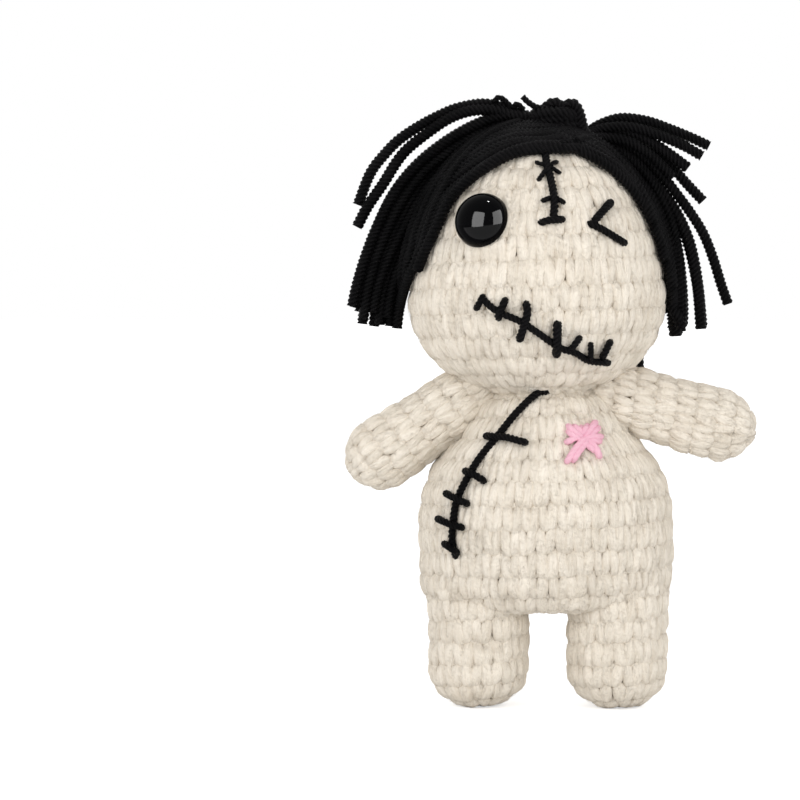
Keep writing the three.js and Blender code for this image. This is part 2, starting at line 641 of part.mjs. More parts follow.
// Arms: each tube droops from the crease under the head. It is cut back where the torso, the neck or
// the head would press into it anywhere between the arm's lowest and highest place, and its sewn end
// is trimmed round the neck. Its droop and its lowest and highest turn are in degrees.
const armTable = [
  { label: 'left', side: 1, droopAngle: 15, lowestTurn: -25, highestTurn: 10, handShares: [1.37, 0.877] },
  { label: 'right', side: -1, droopAngle: 33, lowestTurn: 0, highestTurn: 20, handShares: [1.31, 0.729] },
];
const handCenterShare = 0.785;
const armTrimRadius = neckBallRadius + fabricThickness / 2;
const armTrim = solidOf(
  new THREE.CylinderGeometry(armTrimRadius, armTrimRadius, 2 * torsoHeight, roomSides)
    .rotateX(Math.PI / 2)
    .translate(0, 0, necklineHeight),
);
const torsoObstacle = torsoForm(-seamGap);
const headObstacle = headForm(-seamGap);
const ringObstacle = neckRing(seamGap);
for (const { label, side, droopAngle, lowestTurn, highestTurn, handShares } of armTable) {
  const [handAcross, handUp] = torsoPlace(handShares);
  const hand = new THREE.Vector3(side * handAcross, 0, handUp);
  const shoulder = new THREE.Vector3(side * shoulderSpacing / 2, 0, necklineHeight - shoulderDrop);
  const leanAngle = side * THREE.MathUtils.degToRad(90 + droopAngle);
  const toPlace = (geometry) => solidOf(
    geometry.translate(0, 0, -armLength * handCenterShare).rotateY(leanAngle).translate(hand.x, 0, hand.z),
  );
  const stops = new Set([lowestTurn, lowestTurn / 2, 0, highestTurn / 2, highestTurn]);
  const rooms = [neckRoom, armTrim];
  for (const stop of stops) {
    const back = turnAbout(shoulder, axisY, side * stop);
    const poses = stop === 0 ? [...headPoseShares] : [headRest];
    if (stop === highestTurn) poses.push([1, 1, 1]);
    if (stop === lowestTurn) poses.push([-1, -1, -1]);
    rooms.push(solidOf(torsoObstacle.clone().applyMatrix4(back)));
    rooms.push(solidOf(ringObstacle.clone().applyMatrix4(back)));
    rooms.push(solidOf(ballAt(neckPivot, neckBallRadius + seamGap, roomSides).applyMatrix4(back)));
    for (const pose of poses) {
      rooms.push(solidOf(headObstacle.clone().applyMatrix4(headPose(...pose)).applyMatrix4(back)));
    }
  }
  const shell = cutBy(toPlace(armForm(0)), [...rooms, toPlace(armBore(fabricThickness))]);
  const filling = cutBy(toPlace(armBore(fabricThickness + seamGap)), rooms);
  limbs.add(
    piece(`${label}_arm_shell`, geometryOf(shell), creamYarn, shoulder),
    piece(`${label}_arm_stuffing`, geometryOf(filling), whiteFilling, shoulder),
  );
}

// The whole doll stands on its soles, with its box centred on the origin
const doll = new THREE.Group();
doll.add(torso, limbs, neck, head);
const box = new THREE.Box3().setFromObject(doll, true);
const middle = box.getCenter(new THREE.Vector3());
doll.position.set(-middle.x, -middle.y, 0);

export default doll;
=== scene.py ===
import math
import random

import bmesh
import bpy
import numpy as np
from mathutils import Matrix, Vector, kdtree, noise
from mathutils.bvhtree import BVHTree


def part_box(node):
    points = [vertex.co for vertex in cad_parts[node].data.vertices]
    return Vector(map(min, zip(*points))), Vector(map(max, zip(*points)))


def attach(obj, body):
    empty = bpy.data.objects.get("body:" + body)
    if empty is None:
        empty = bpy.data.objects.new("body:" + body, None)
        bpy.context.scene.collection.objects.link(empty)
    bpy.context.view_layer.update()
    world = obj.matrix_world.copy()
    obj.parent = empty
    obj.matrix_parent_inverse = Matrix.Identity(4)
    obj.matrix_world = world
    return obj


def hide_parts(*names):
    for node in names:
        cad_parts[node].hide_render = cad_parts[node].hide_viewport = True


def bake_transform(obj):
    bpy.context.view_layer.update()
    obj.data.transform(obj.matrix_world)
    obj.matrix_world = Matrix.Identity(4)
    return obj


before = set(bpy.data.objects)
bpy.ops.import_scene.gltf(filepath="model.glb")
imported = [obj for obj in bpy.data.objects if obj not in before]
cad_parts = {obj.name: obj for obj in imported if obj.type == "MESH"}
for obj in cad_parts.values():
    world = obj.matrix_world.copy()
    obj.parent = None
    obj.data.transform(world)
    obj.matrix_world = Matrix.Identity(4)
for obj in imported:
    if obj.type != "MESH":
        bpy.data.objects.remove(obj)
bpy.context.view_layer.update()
MM = 0.001

# Camera: it stands in front of the doll, a little above its belly, and looks down by a few degrees.
# The doll stands right of the middle of the picture. Places on the face, the belly and the hair are
# given in pixels of that picture, 800 by 800, and seen() finds them in space.
picture_px = 800
px_per_mm = 3.91
doll_middle_px = 546
floor_px = 707
lens_mm = 130
sensor_mm = 36
camera_elevation = math.radians(3)
torso_low, torso_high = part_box("torso_shell")
middle_x = (torso_low.x + torso_high.x) / 2 / MM
middle_y = (torso_low.y + torso_high.y) / 2 / MM
distance_mm = picture_px / px_per_mm * lens_mm / sensor_mm
target = Vector((
    middle_x + (picture_px / 2 - doll_middle_px) / px_per_mm,
    middle_y,
    (floor_px - picture_px / 2) / px_per_mm,
))
stand = Vector((
    middle_x,
    middle_y - distance_mm * math.cos(camera_elevation),
    target.z + distance_mm * math.sin(camera_elevation),
))


def placed(name, data):
    """A new object with that data, linked to the scene."""
    thing = bpy.data.objects.new(name, data)
    bpy.context.collection.objects.link(thing)
    return thing


camera_data = bpy.data.cameras.new("camera")
camera_data.lens = lens_mm
camera_data.sensor_width = sensor_mm
camera_data.clip_start = 10 * MM
camera = placed("camera", camera_data)
camera.rotation_mode = "QUATERNION"
camera.rotation_quaternion = (target - stand).to_track_quat("-Z", "Y")
camera.location = stand * MM
bpy.context.scene.camera = camera


def ray_of(px, py):
    """The direction from the camera through a pixel of the picture."""
    half = picture_px / 2
    across = (px - half) / picture_px * sensor_mm
    up = (half - py) / picture_px * sensor_mm
    return (camera.rotation_quaternion @ Vector((across, up, -lens_mm))).normalized()


def seen(px, py, depth):
    """Where a pixel of the picture is, on the upright plane at that depth, in millimetres."""
    ray = ray_of(px, py)
    return stand + ray * ((depth - stand.y) / ray.y)


# Stuffed forms: every soft part of the doll is a closed tube of fabric, packed with loose filling.
# Its skin is spun from an outline, dented a little by the uneven filling, and then blown up as cloth.
# The dents fade out where the form is narrower than smooth_within.
lump_size = 9
lump_height = 0.45
smooth_within = 4
most_swell = 0.8
cloth_frames = 20


def stuffed_form(rows, place, seed, rounding=8, sides=40, rings=64):
    """The skin of a stuffed tube whose outline rows are (half width, half depth, height)."""
    rows = np.array(rows, float)
    steps = np.hypot(np.diff(rows[:, :2].mean(axis=1)), np.diff(rows[:, 2]))
    length = np.concatenate([[0], np.cumsum(steps)])
    at = np.linspace(0, length[-1], rings + 1)
    fine = np.stack([np.interp(at, length, rows[:, k]) for k in range(3)], axis=1)
    for _ in range(rounding):
        fine[1:-1] = (fine[:-2] + 2 * fine[1:-1] + fine[2:]) / 4

    skin = bmesh.new()
    bmesh.ops.create_grid(skin, x_segments=sides, y_segments=rings, size=1)
    order = [None] * ((sides + 1) * (rings + 1))
    for vertex in skin.verts:
        across = round((vertex.co.x + 1) / 2 * sides)
        along = round((vertex.co.y + 1) / 2 * rings)
        order[across * (rings + 1) + along] = vertex.index
        width, depth, height = fine[along]
        turn = 2 * math.pi * (across % sides) / sides
        spot = place @ Vector((width * math.cos(turn), depth * math.sin(turn), height))
        out = place.to_3x3() @ Vector((math.cos(turn), math.sin(turn), 0))
        dent = noise.noise(spot / lump_size + Vector((seed, 0, 0))) * lump_height
        vertex.co = spot + out * dent * min(1, width / smooth_within)
    spots = np.array([vertex.co for vertex in skin.verts])
    spots = blown_up(skin, spots)
    skin.free()
    grid = spots[order].reshape(sides + 1, rings + 1, 3)
    across = np.roll(grid[:-1], -1, axis=0) - np.roll(grid[:-1], 1, axis=0)
    across = np.concatenate([across, across[:1]])
    along = np.gradient(grid, axis=1)
    normals = np.cross(across, along)
    normals /= np.maximum(np.linalg.norm(normals, axis=-1, keepdims=True), 1e-9)
    return {"at": at, "rows": fine, "grid": grid, "normals": normals}


def blown_up(skin, spots):
    """The skin after a short cloth simulation with pressure inside. No point moves far."""
    bmesh.ops.remove_doubles(skin, verts=skin.verts, dist=0.01)
    mesh = bpy.data.meshes.new("skin")
    skin.to_mesh(mesh)
    rest = np.array([vertex.co for vertex in mesh.vertices])
    mesh.vertices.foreach_set("co", (rest * MM).ravel())
    cloth_object = placed("skin", mesh)
    cloth = cloth_object.modifiers.new("cloth", "CLOTH")
    cloth.settings.quality = 6
    cloth.settings.mass = 0.2
    cloth.settings.tension_stiffness = 30
    cloth.settings.compression_stiffness = 30
    cloth.settings.shear_stiffness = 15
    cloth.settings.bending_stiffness = 2
    cloth.settings.use_pressure = True
    cloth.settings.uniform_pressure_force = 4
    cloth.settings.effector_weights.gravity = 0
    scene = bpy.context.scene
    for step in range(1, cloth_frames + 1):
        scene.frame_set(step)
    swollen = cloth_object.evaluated_get(bpy.context.evaluated_depsgraph_get()).to_mesh()
    moved = np.array([vertex.co for vertex in swollen.vertices]) / MM - rest
    scene.frame_set(1)
    bpy.data.objects.remove(cloth_object)
    bpy.data.meshes.remove(mesh)
    far = np.linalg.norm(moved, axis=1, keepdims=True)
    moved *= np.minimum(1, most_swell / np.maximum(far, 1e-9))
    tree = kdtree.KDTree(len(rest))
    for index, spot in enumerate(rest):
        tree.insert(spot, index)
    tree.balance()
    nearest = [tree.find(spot)[1] for spot in spots]
    return spots + moved[nearest]


def on_form(form, turn, along, out):
    """Points of a form from arrays of turns, lengths along it and distances out from its skin."""
    grid, normals = form["grid"], form["normals"]
    sides, rings = grid.shape[0] - 1, grid.shape[1] - 1
    u = (turn / (2 * math.pi)) % 1 * sides
    v = np.clip(along / form["at"][-1] * rings, 1, rings - 1.001)
    i, j = np.minimum(u.astype(int), sides - 1), v.astype(int)
    du, dv = (u - i)[..., None], (v - j)[..., None]

    def between(values):
        low = values[i, j] * (1 - du) + values[i + 1, j] * du
        high = values[i, j + 1] * (1 - du) + values[i + 1, j + 1] * du
        return low * (1 - dv) + high * dv

    normal = between(normals)
    normal /= np.linalg.norm(normal, axis=-1, keepdims=True)
    return between(grid) + normal * out[..., None]


def form_tree(form, out):
    """A surface a distance out from a form's skin, to lay yarn on."""
    grid = form["grid"] + form["normals"] * out
    sides, rings = grid.shape[0] - 1, grid.shape[1] - 1
    faces = []
    for side in range(sides):
        for ring in range(1, rings - 1):
            corner = side * (rings + 1) + ring
            faces.append((corner, corner + rings + 1, corner + rings + 2, corner + 1))
    return BVHTree.FromPolygons([Vector(spot) for spot in grid.reshape(-1, 3)], faces)


# Cream yarn: soft matt wool in loose plies, with fine fibres that run along each strand. Painted shade
# darkens its colour in the grooves and holes between the stitches, towards a dark hole colour.
cream_light = (0.92, 0.845, 0.735, 1)
cream_deep = (0.80, 0.715, 0.60, 1)
# Painted shade: the dark colour of the holes between the stitches and of the inner skin below them
cream_hole_shade = (0.33, 0.27, 0.18, 1)


def set_inputs(node, values):
    """Gives a node's inputs their values, by name."""
    for name, value in values.items():
        node.inputs[name].default_value = value


def add_node(nodes, kind, values=None):
    """A new shader node of that kind, with values given for some of its inputs."""
    node = nodes.new("ShaderNode" + kind)
    set_inputs(node, values or {})
    return node


def new_material(name, values):
    """A new material, with its nodes, the function that wires them and its surface node."""
    material = bpy.data.materials.new(name)
    material.use_nodes = True
    surface = material.node_tree.nodes["Principled BSDF"]
    set_inputs(surface, values)
    return material, material.node_tree.nodes, material.node_tree.links.new, surface


def fibre_group():
    """Height and tone of spun wool. Fibres are drawn out along V of the strand's own map, and short
    fuzz lies over them in all directions."""
    group = bpy.data.node_groups.new("wool_fibres", "ShaderNodeTree")
    inputs = {
        "Map": (0, 0, 0), "Place": (0, 0, 0), "Strand": 0, "Fibres Round": 22, "Fibres Along": 2.5,
        "Cloud Scale": 140, "Fuzz Scale": 1500, "Fuzz": 0.5,
    }
    for name, value in inputs.items():
        kind = "NodeSocketVector" if name in ("Map", "Place") else "NodeSocketFloat"
        group.interface.new_socket(name, in_out="INPUT", socket_type=kind).default_value = value
    for name in ("Height", "Tone"):
        group.interface.new_socket(name, in_out="OUTPUT", socket_type="NodeSocketFloat")
    nodes = group.nodes
    wire = group.links.new
    given = nodes.new("NodeGroupInput")
    out = nodes.new("NodeGroupOutput")
    stretch = add_node(nodes, "CombineXYZ")
    wire(given.outputs["Fibres Round"], stretch.inputs["X"])
    wire(given.outputs["Fibres Along"], stretch.inputs["Y"])
    drawn = add_node(nodes, "VectorMath")
    drawn.operation = "MULTIPLY"
    wire(given.outputs["Map"], drawn.inputs[0])
    wire(stretch.outputs["Vector"], drawn.inputs[1])
    fibres = add_node(nodes, "TexNoise", {"Scale": 1, "Detail": 3, "Distortion": 0.6})
    fibres.noise_dimensions = "4D"
    wire(drawn.outputs["Vector"], fibres.inputs["Vector"])
    wire(given.outputs["Strand"], fibres.inputs["W"])
    clouds = add_node(nodes, "TexNoise", {"Detail": 4})
    wire(given.outputs["Place"], clouds.inputs["Vector"])
    wire(given.outputs["Cloud Scale"], clouds.inputs["Scale"])
    fuzz = add_node(nodes, "TexNoise", {"Detail": 4, "Roughness": 0.6})
    wire(given.outputs["Place"], fuzz.inputs["Vector"])
    wire(given.outputs["Fuzz Scale"], fuzz.inputs["Scale"])
    height = add_node(nodes, "Mix")
    wire(given.outputs["Fuzz"], height.inputs["Factor"])
    wire(fibres.outputs["Fac"], height.inputs["A"])
    wire(fuzz.outputs["Fac"], height.inputs["B"])
    wire(height.outputs["Result"], out.inputs["Height"])
    tone = add_node(nodes, "Mix", {"Factor": 0.45})
    wire(fibres.outputs["Fac"], tone.inputs["A"])
    wire(clouds.outputs["Fac"], tone.inputs["B"])
    wire(tone.outputs["Result"], out.inputs["Tone"])
    return group


wool_fibres = fibre_group()
relief_depth = 0.95
deep_tone = 0.33
light_tone = 0.55


def yarn_material(
        name, light, deep, rough=0.85, sheen=0.3, specular=0.2, bump=0.5, fuzz=0.5, mapped=True, hole=None):
    """Yarn whose tone wanders between two colours. Its hollow_shade attribute mixes painted shade into the
    grooves: the hole colour, or the deep colour when no hole colour is given.

    mapped says that every strand has a map of its own along its length.
    """
    material, nodes, wire, surface = new_material(name, {
        "Roughness": rough, "Specular IOR Level": specular, "Sheen Weight": sheen, "Sheen Roughness": 0.5,
        "Sheen Tint": light,
    })
    place = add_node(nodes, "TexCoord")
    strand = add_node(nodes, "Attribute")
    strand.attribute_name = "strand"
    hollow_shade = add_node(nodes, "Attribute")
    hollow_shade.attribute_name = "hollow_shade"
    wool = add_node(nodes, "Group")
    wool.node_tree = wool_fibres
    wool.inputs["Fuzz"].default_value = fuzz
    wire(place.outputs["UV" if mapped else "Object"], wool.inputs["Map"])
    wire(place.outputs["Object"], wool.inputs["Place"])
    wire(strand.outputs["Fac"], wool.inputs["Strand"])
    ramp = add_node(nodes, "ValToRGB")
    for element, tone, colour in zip(ramp.color_ramp.elements, (deep_tone, light_tone), (deep, light)):
        element.position = tone
        element.color = colour
    wire(wool.outputs["Tone"], ramp.inputs["Fac"])
    # Painted shade: the hollow_shade attribute mixes the grooves towards the hole colour
    shaded = add_node(nodes, "Mix")
    shaded.data_type = "RGBA"
    wire(hollow_shade.outputs["Fac"], shaded.inputs["Factor"])
    colours = [socket for socket in shaded.inputs if socket.type == "RGBA"]
    wire(ramp.outputs["Color"], colours[0])
    colours[1].default_value = hole or deep
    result = [socket for socket in shaded.outputs if socket.type == "RGBA"][0]
    wire(result, surface.inputs["Base Color"])
    relief = add_node(nodes, "Bump", {"Strength": bump, "Distance": relief_depth * MM})
    wire(wool.outputs["Height"], relief.inputs["Height"])
    wire(relief.outputs["Normal"], surface.inputs["Normal"])
    return material


cream_yarn = yarn_material("cream_yarn", cream_light, cream_deep, bump=1.0, hole=cream_hole_shade)
# The inner skin is painted shade: the dark hole colour all over, with no sheen or gloss
under_shade_yarn = yarn_material("under_shade_yarn", cream_hole_shade, cream_hole_shade, sheen=0, specular=0)


# Crochet: rounds of single stitches. Each stitch shows as a V of two plump strands whose foot comes out of
# the round below. The loops between the rounds lie deeper, and painted shade darkens the small hole left
# beside the foot of every V and the grooves between the strands.

# Sizes across and up are shares of a stitch and of a round
stitch_strands = (
    {"across": -0.23, "up": 0.54, "lean": -0.12, "long": 0.73, "wide": 0.36, "thick": 1.05, "out": -0.75},
    {"across": 0.23, "up": 0.54, "lean": 0.12, "long": 0.73, "wide": 0.36, "thick": 1.05, "out": -0.75},
    {"across": 0.5, "up": 0.1, "lean": 0.0, "long": 0.24, "wide": 0.26, "thick": 0.7, "out": -1.35},
)
# How far stitches and strands stray, as shares or in millimetres
stitch_scatter = {
    "wobble": (-0.07, 0.07), "swell": (0.92, 1.08), "lift": (-0.15, 0.15), "tilt": (-0.05, 0.05),
    "rise": (-0.05, 0.05), "plump": (0.9, 1.12), "out": (-0.12, 0.12), "shade": (0, 0.14),
    "strand": (0, 50),
}
head_dive = 0.7
foot_dive = 1.3
# Painted shade: strands deeper than hollow_from darken towards the hole colour over hollow_reach
# millimetres, by at most hollow_most
hollow_from = -0.95
hollow_reach = 0.7
hollow_most = 0.9
under_skin_out = -1.35
unevenness = ((2.6, 0.3), (0.9, 0.16))
least_stitches = 5
bead_bluntness = 2.6
fibre_half_length = 0.8
fibre_half_width = 0.03
fibre_taper = 0.8
fibres_per_stitch = 48
fibre_scatter = {
    "along": (0.02, 0.98), "length": (0.5, 1.4), "out": (0, 0.45), "rise": (-0.25, 0.35),
    "bend": (-0.1, 0.45),
}


def mesh_from(name, shape):
    """A mesh with the faces of a bmesh, which is freed."""
    mesh = bpy.data.meshes.new(name)
    shape.to_mesh(mesh)
    shape.free()
    return mesh


def bead_mesh():
    """One short blunt strand, as a bead along Z with its own map."""
    bead = bmesh.new()
    bead.loops.layers.uv.new("UVMap")
    bmesh.ops.create_uvsphere(bead, u_segments=9, v_segments=7, radius=1, calc_uvs=True)
    for vertex in bead.verts:
        reach = math.hypot(vertex.co.x, vertex.co.y)
        if reach > 0.01:
            blunt = (1 - abs(vertex.co.z) ** bead_bluntness) ** 0.5 / reach
            vertex.co.x *= blunt
            vertex.co.y *= blunt
    return mesh_from("bead", bead)


bead = bead_mesh()
bead_points = np.array([vertex.co for vertex in bead.vertices])


def fibre_mesh():
    """One loose fibre that stands off the yarn, as a thin blade along Y."""
    fibre = bmesh.new()
    fibre.loops.layers.uv.new("UVMap")
    bmesh.ops.create_grid(fibre, x_segments=1, y_segments=3, size=1, calc_uvs=True)
    for vertex in fibre.verts:
        vertex.co.x *= 1 - fibre_taper * abs(vertex.co.y)
    return mesh_from("fibre", fibre)


fibre = fibre_mesh()
fibre_points = np.array([vertex.co for vertex in fibre.vertices])


def loose_fibres(form, count, rng):
    """Points of loose fibres spread over a form, as turn, length along it and distance out."""
    spread = form["rows"][:, :2].mean(axis=1)
    spots, bases, bends = [], [], []
    while len(spots) < count:
        along = rng.uniform(*fibre_scatter["along"]) * form["at"][-1]
        radius = np.interp(along, form["at"], spread)
        if rng.random() > radius / spread.max():
            continue
        direction = rng.uniform(0, 2 * math.pi)
        length = fibre_half_length * rng.uniform(*fibre_scatter["length"])
        side, rise = math.cos(direction), math.sin(direction)
        spots.append((rng.uniform(0, 2 * math.pi), along, rng.uniform(*fibre_scatter["out"])))
        bases.append((
            (-rise * fibre_half_width / radius, side * fibre_half_width, 0),
            (side * length / radius, rise * length, rng.uniform(*fibre_scatter["rise"])),
            (0, 0, 1),
        ))
        bends.append(rng.uniform(*fibre_scatter["bend"]))
    flat = np.array(spots)[:, None, :] + fibre_points[None, :, :] @ np.array(bases)
    flat[..., 2] -= np.array(bends)[:, None] * fibre_points[None, :, 1] ** 2
    return flat


def crochet(name, form, stitches, pitch, lean=0.0, seed=1, first=0.0, last=None):
    """Crocheted fabric over a form, worked in rounds from the start of its outline.

    stitches is the count in the widest round, pitch the height of a round and lean how far each
    round shifts, in stitches.
    """
    rng = random.Random(seed)
    noise.seed_set(seed)

    def stray(key):
        return rng.uniform(*stitch_scatter[key])

    spread = form["rows"][:, :2].mean(axis=1)
    last = form["at"][-1] if last is None else last
    rounds = max(1, round((last - first) / pitch))
    pitch = (last - first) / rounds
    centres, bases, shades, strands = [], [], [], []
    walked = 0
    while walked < 2 * math.pi * rounds:
        start = first + pitch * (walked / (2 * math.pi) - 0.5)
        radius = np.interp(start + pitch / 2, form["at"], spread)
        around = max(least_stitches, round(stitches * radius / spread.max()))
        stitch = 2 * math.pi / (around + lean)
        wobble, swell, lift, tilt = (stray(key) for key in ("wobble", "swell", "lift", "tilt"))
        for strand in stitch_strands:
            turn = walked + stitch * (strand["across"] + wobble) - math.pi / 2
            rise = pitch * (strand["up"] + stray("rise"))
            plump = swell * stray("plump")
            centres.append((turn, start + rise, strand["out"] + lift + stray("out")))
            bases.append((
                (stitch * strand["wide"] * plump, 0, 0),
                (0, 0, -strand["thick"] * swell),
                (stitch * (strand["lean"] + tilt), pitch * strand["long"], 0),
            ))
            shades.append(stray("shade"))
            strands.append(stray("strand"))
        walked += stitch
    centres, bases = np.array(centres), np.array(bases)
    flat = centres[:, None, :] + bead_points[None, :, :] @ bases
    ends = bead_points[None, :, 2]
    flat[..., 2] -= np.where(ends > 0, head_dive, foot_dive) * ends ** 4
    points = on_form(form, flat[..., 0], flat[..., 1], flat[..., 2])
    # Painted shade where the strands lie deep, plus each strand's own random darker tone
    hollow_shade = np.clip((hollow_from - flat[..., 2]) / hollow_reach, 0, 1) * hollow_most
    hollow_shade = hollow_shade + np.array(shades)[:, None]
    strand = np.repeat(np.array(strands)[:, None], len(bead_points), axis=1)
    loose = loose_fibres(form, len(centres) // 3 * fibres_per_stitch, rng)
    loose_points = on_form(form, loose[..., 0], loose[..., 1], loose[..., 2])
    points = points.reshape(-1, 3)
    for size, most in unevenness:
        points += [noise.noise_vector(Vector(point) / size) * most for point in points]
    points = np.concatenate([points, loose_points.reshape(-1, 3)])
    # The soles are pressed flat where the doll stands
    points[:, 2] = np.maximum(points[:, 2], 0)
    hollow_shade = np.concatenate([hollow_shade.ravel(), np.zeros(loose[..., 0].size)])
    strand = np.concatenate([strand.ravel(), np.zeros(loose[..., 0].size)])

    fabric = bmesh.new()
    for _ in range(len(centres)):
        fabric.from_mesh(bead)
    for _ in range(len(loose)):
        fabric.from_mesh(fibre)
    mesh = mesh_from(name, fabric)
    mesh.vertices.foreach_set("co", (points * MM).ravel())
    for layer, values in (("hollow_shade", hollow_shade), ("strand", strand)):
        attribute = mesh.attributes.new(layer, "FLOAT", "POINT")
        attribute.data.foreach_set("value", values.astype(np.float32))
    mesh.materials.append(cream_yarn)
    mesh.materials.append(under_shade_yarn)
    fabric = bmesh.new()
    fabric.from_mesh(mesh)
    add_under_skin(fabric, form)
    bmesh.ops.recalc_face_normals(fabric, faces=fabric.faces)
    fabric.to_mesh(mesh)
    fabric.free()
    mesh.shade_smooth()
    piece = placed(name, mesh)
    return piece


def add_under_skin(fabric, form, sides=48, rings=40):
    """The inner loops of the rounds: a closed skin a little below the stitches, painted all over in the dark
    hole colour as painted shade.
    """
    before = len(fabric.verts)
    bmesh.ops.create_grid(fabric, x_segments=sides, y_segments=rings, size=1)
    fabric.verts.ensure_lookup_table()
    skin = fabric.verts[before:]
    local = np.array([vertex.co for vertex in skin])
    turn = (local[:, 0] + 1) * math.pi
    turn[local[:, 0] > 0.999] = 0
    along = (local[:, 1] + 1) / 2 * form["at"][-1]
    points = on_form(form, turn, along, np.full(len(skin), under_skin_out))
    for vertex, point in zip(skin, points):
        vertex.co = Vector(point) * MM
        for face in vertex.link_faces:
            # the inner skin takes the painted-shade material
            face.material_index = 1
    bmesh.ops.remove_doubles(fabric, verts=skin, dist=0.01 * MM)
    skin = [vertex for vertex in skin if vertex.is_valid]
    rim = list({edge for vertex in skin for edge in vertex.link_edges if edge.is_boundary})
    bmesh.ops.holes_fill(fabric, edges=rim, sides=0)


# Torso: one pear-shaped tube, worked from the crotch up to the neck and stuffed firmly. Its outline
# gives shares of the height, of the half width and of the half depth.
torso_outline = (
    (0.00, 0.00, 0.00), (0.00, 0.60, 0.40), (0.00, 0.90, 0.60), (0.02, 0.95, 0.66), (0.06, 0.97, 0.74),
    (0.14, 0.99, 0.86), (0.29, 1.00, 0.95), (0.44, 1.00, 1.00), (0.56, 0.972, 0.985), (0.65, 0.92, 0.94),
    (0.74, 0.84, 0.87), (0.82, 0.722, 0.79), (0.90, 0.63, 0.73), (0.97, 0.56, 0.68), (1.03, 0.49, 0.60),
    (1.06, 0.40, 0.50), (1.07, 0.20, 0.26), (1.07, 0.00, 0.00),
)
torso_half_width = (torso_high.x - torso_low.x) / 2 / MM
torso_half_depth = (torso_high.y - torso_low.y) / 2 / MM
hip_height = torso_low.z / MM
torso_height = torso_high.z / MM - hip_height
torso_form = stuffed_form(
    [(torso_half_width * wide, torso_half_depth * deep, hip_height + torso_height * up)
     for up, wide, deep in torso_outline],
    Matrix.Translation((middle_x, middle_y, 0)), seed=3, rounding=3,
)
torso = crochet("torso_fabric", torso_form, stitches=44, pitch=6.1, lean=-0.08, seed=3)
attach(torso, "torso")
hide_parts("torso_shell", "torso_stuffing")

# Legs: two short tubes worked from the sole up, each with a closed round foot. They widen in depth
# towards the hips, where their last round is worked into the torso's first.
leg_radius = 12.7
foot_round = 10
foot_steps = 8
sole_cut = 0.5
knee_rows = (15, 21)
hip_depth = 15.6

# Shares of the leg's width and depth at the hip, and millimetres above the torso's lowest point
hip_rows = ((1, 1, 1), (1.04, 1, 6), (0.9, 0.9, 10), (0, 0, 13))
for side in ("left", "right"):
    leg_low, leg_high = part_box(f"{side}_leg_shell")
    outline = [(0, 0, 0)]
    for step in range(foot_steps + 1):
        angle = math.pi / 2 * (step / foot_steps - 1)
        spread = leg_radius * math.cos(angle)
        outline.append((spread, spread, max(0, foot_round - sole_cut + foot_round * math.sin(angle))))
    outline += [
        (leg_radius, leg_radius, knee_rows[0]),
        (leg_radius, (leg_radius + hip_depth) / 2, knee_rows[1]),
    ]
    for wide, deep, up in hip_rows:
        outline.append((leg_radius * wide, hip_depth * deep, hip_height + up))
    leg_middle = Vector(((leg_low.x + leg_high.x) / 2 / MM, (leg_low.y + leg_high.y) / 2 / MM, 0))
    leg_form = stuffed_form(outline, Matrix.Translation(leg_middle), seed=7 + len(side), rounding=6)
    leg = crochet(f"{side}_leg_fabric", leg_form, stitches=16, pitch=5.5, lean=0.45, seed=11 + len(side))
    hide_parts(f"{side}_leg_shell", f"{side}_leg_stuffing")
    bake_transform(leg)

# Head: one ball of the same cream yarn, worked in the round and stuffed firmly. It is flatter at the
# chin than at the crown.
chin_drop = 23.5
chin_sag = 1
crown_rise = 43.7
head_steps = 32
head_low, head_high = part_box("head_shell")
head_half_width = (head_high.x - head_low.x) / 2 / MM
head_half_depth = (head_high.y - head_low.y) / 2 / MM
head_middle = Vector((
    (head_high.x + head_low.x) / 2 / MM,
    (head_high.y + head_low.y) / 2 / MM,
    head_high.z / MM - crown_rise,
))
outline = []
for step in range(head_steps + 1):
    angle = math.pi * (step / head_steps - 0.5)
    rise = chin_drop + chin_sag if angle < 0 else crown_rise
    spread = math.cos(angle)
    outline.append((head_half_width * spread, head_half_depth * spread, rise * math.sin(angle)))
head_form = stuffed_form(outline, Matrix.Translation(head_middle), seed=5, rounding=2)
head = crochet("head_fabric", head_form, stitches=43, pitch=6.4, lean=-0.1, seed=5)
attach(head, "head")
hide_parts("head_shell", "head_stuffing")

# Neck: the last rounds of torso and head are drawn together and whipped with the same yarn, which
# makes a soft collar between them
neck_radius = 13.8
neck_height = 81.5
neck_shift = -0.5
collar_bulge = 3
collar_half_height = 4.5
collar_end = 5
collar_steps = 8
collar_outline = [(0, 0, -collar_end)]
for step in range(collar_steps + 1):
    angle = math.pi * (step / collar_steps - 0.5)
    reach = neck_radius - collar_bulge + collar_bulge * math.cos(angle)
    collar_outline.append((reach, reach, collar_half_height * math.sin(angle)))
collar_outline.append((0, 0, collar_end))
collar_form = stuffed_form(
    collar_outline, Matrix.Translation((middle_x + neck_shift, middle_y, neck_height)), seed=2, rounding=2)
collar = crochet("neck_fabric", collar_form, stitches=20, pitch=4.4, lean=0.4, seed=9, first=9, last=31)
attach(collar, "neck_core")
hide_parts("neck_seam", "neck_stuffing")

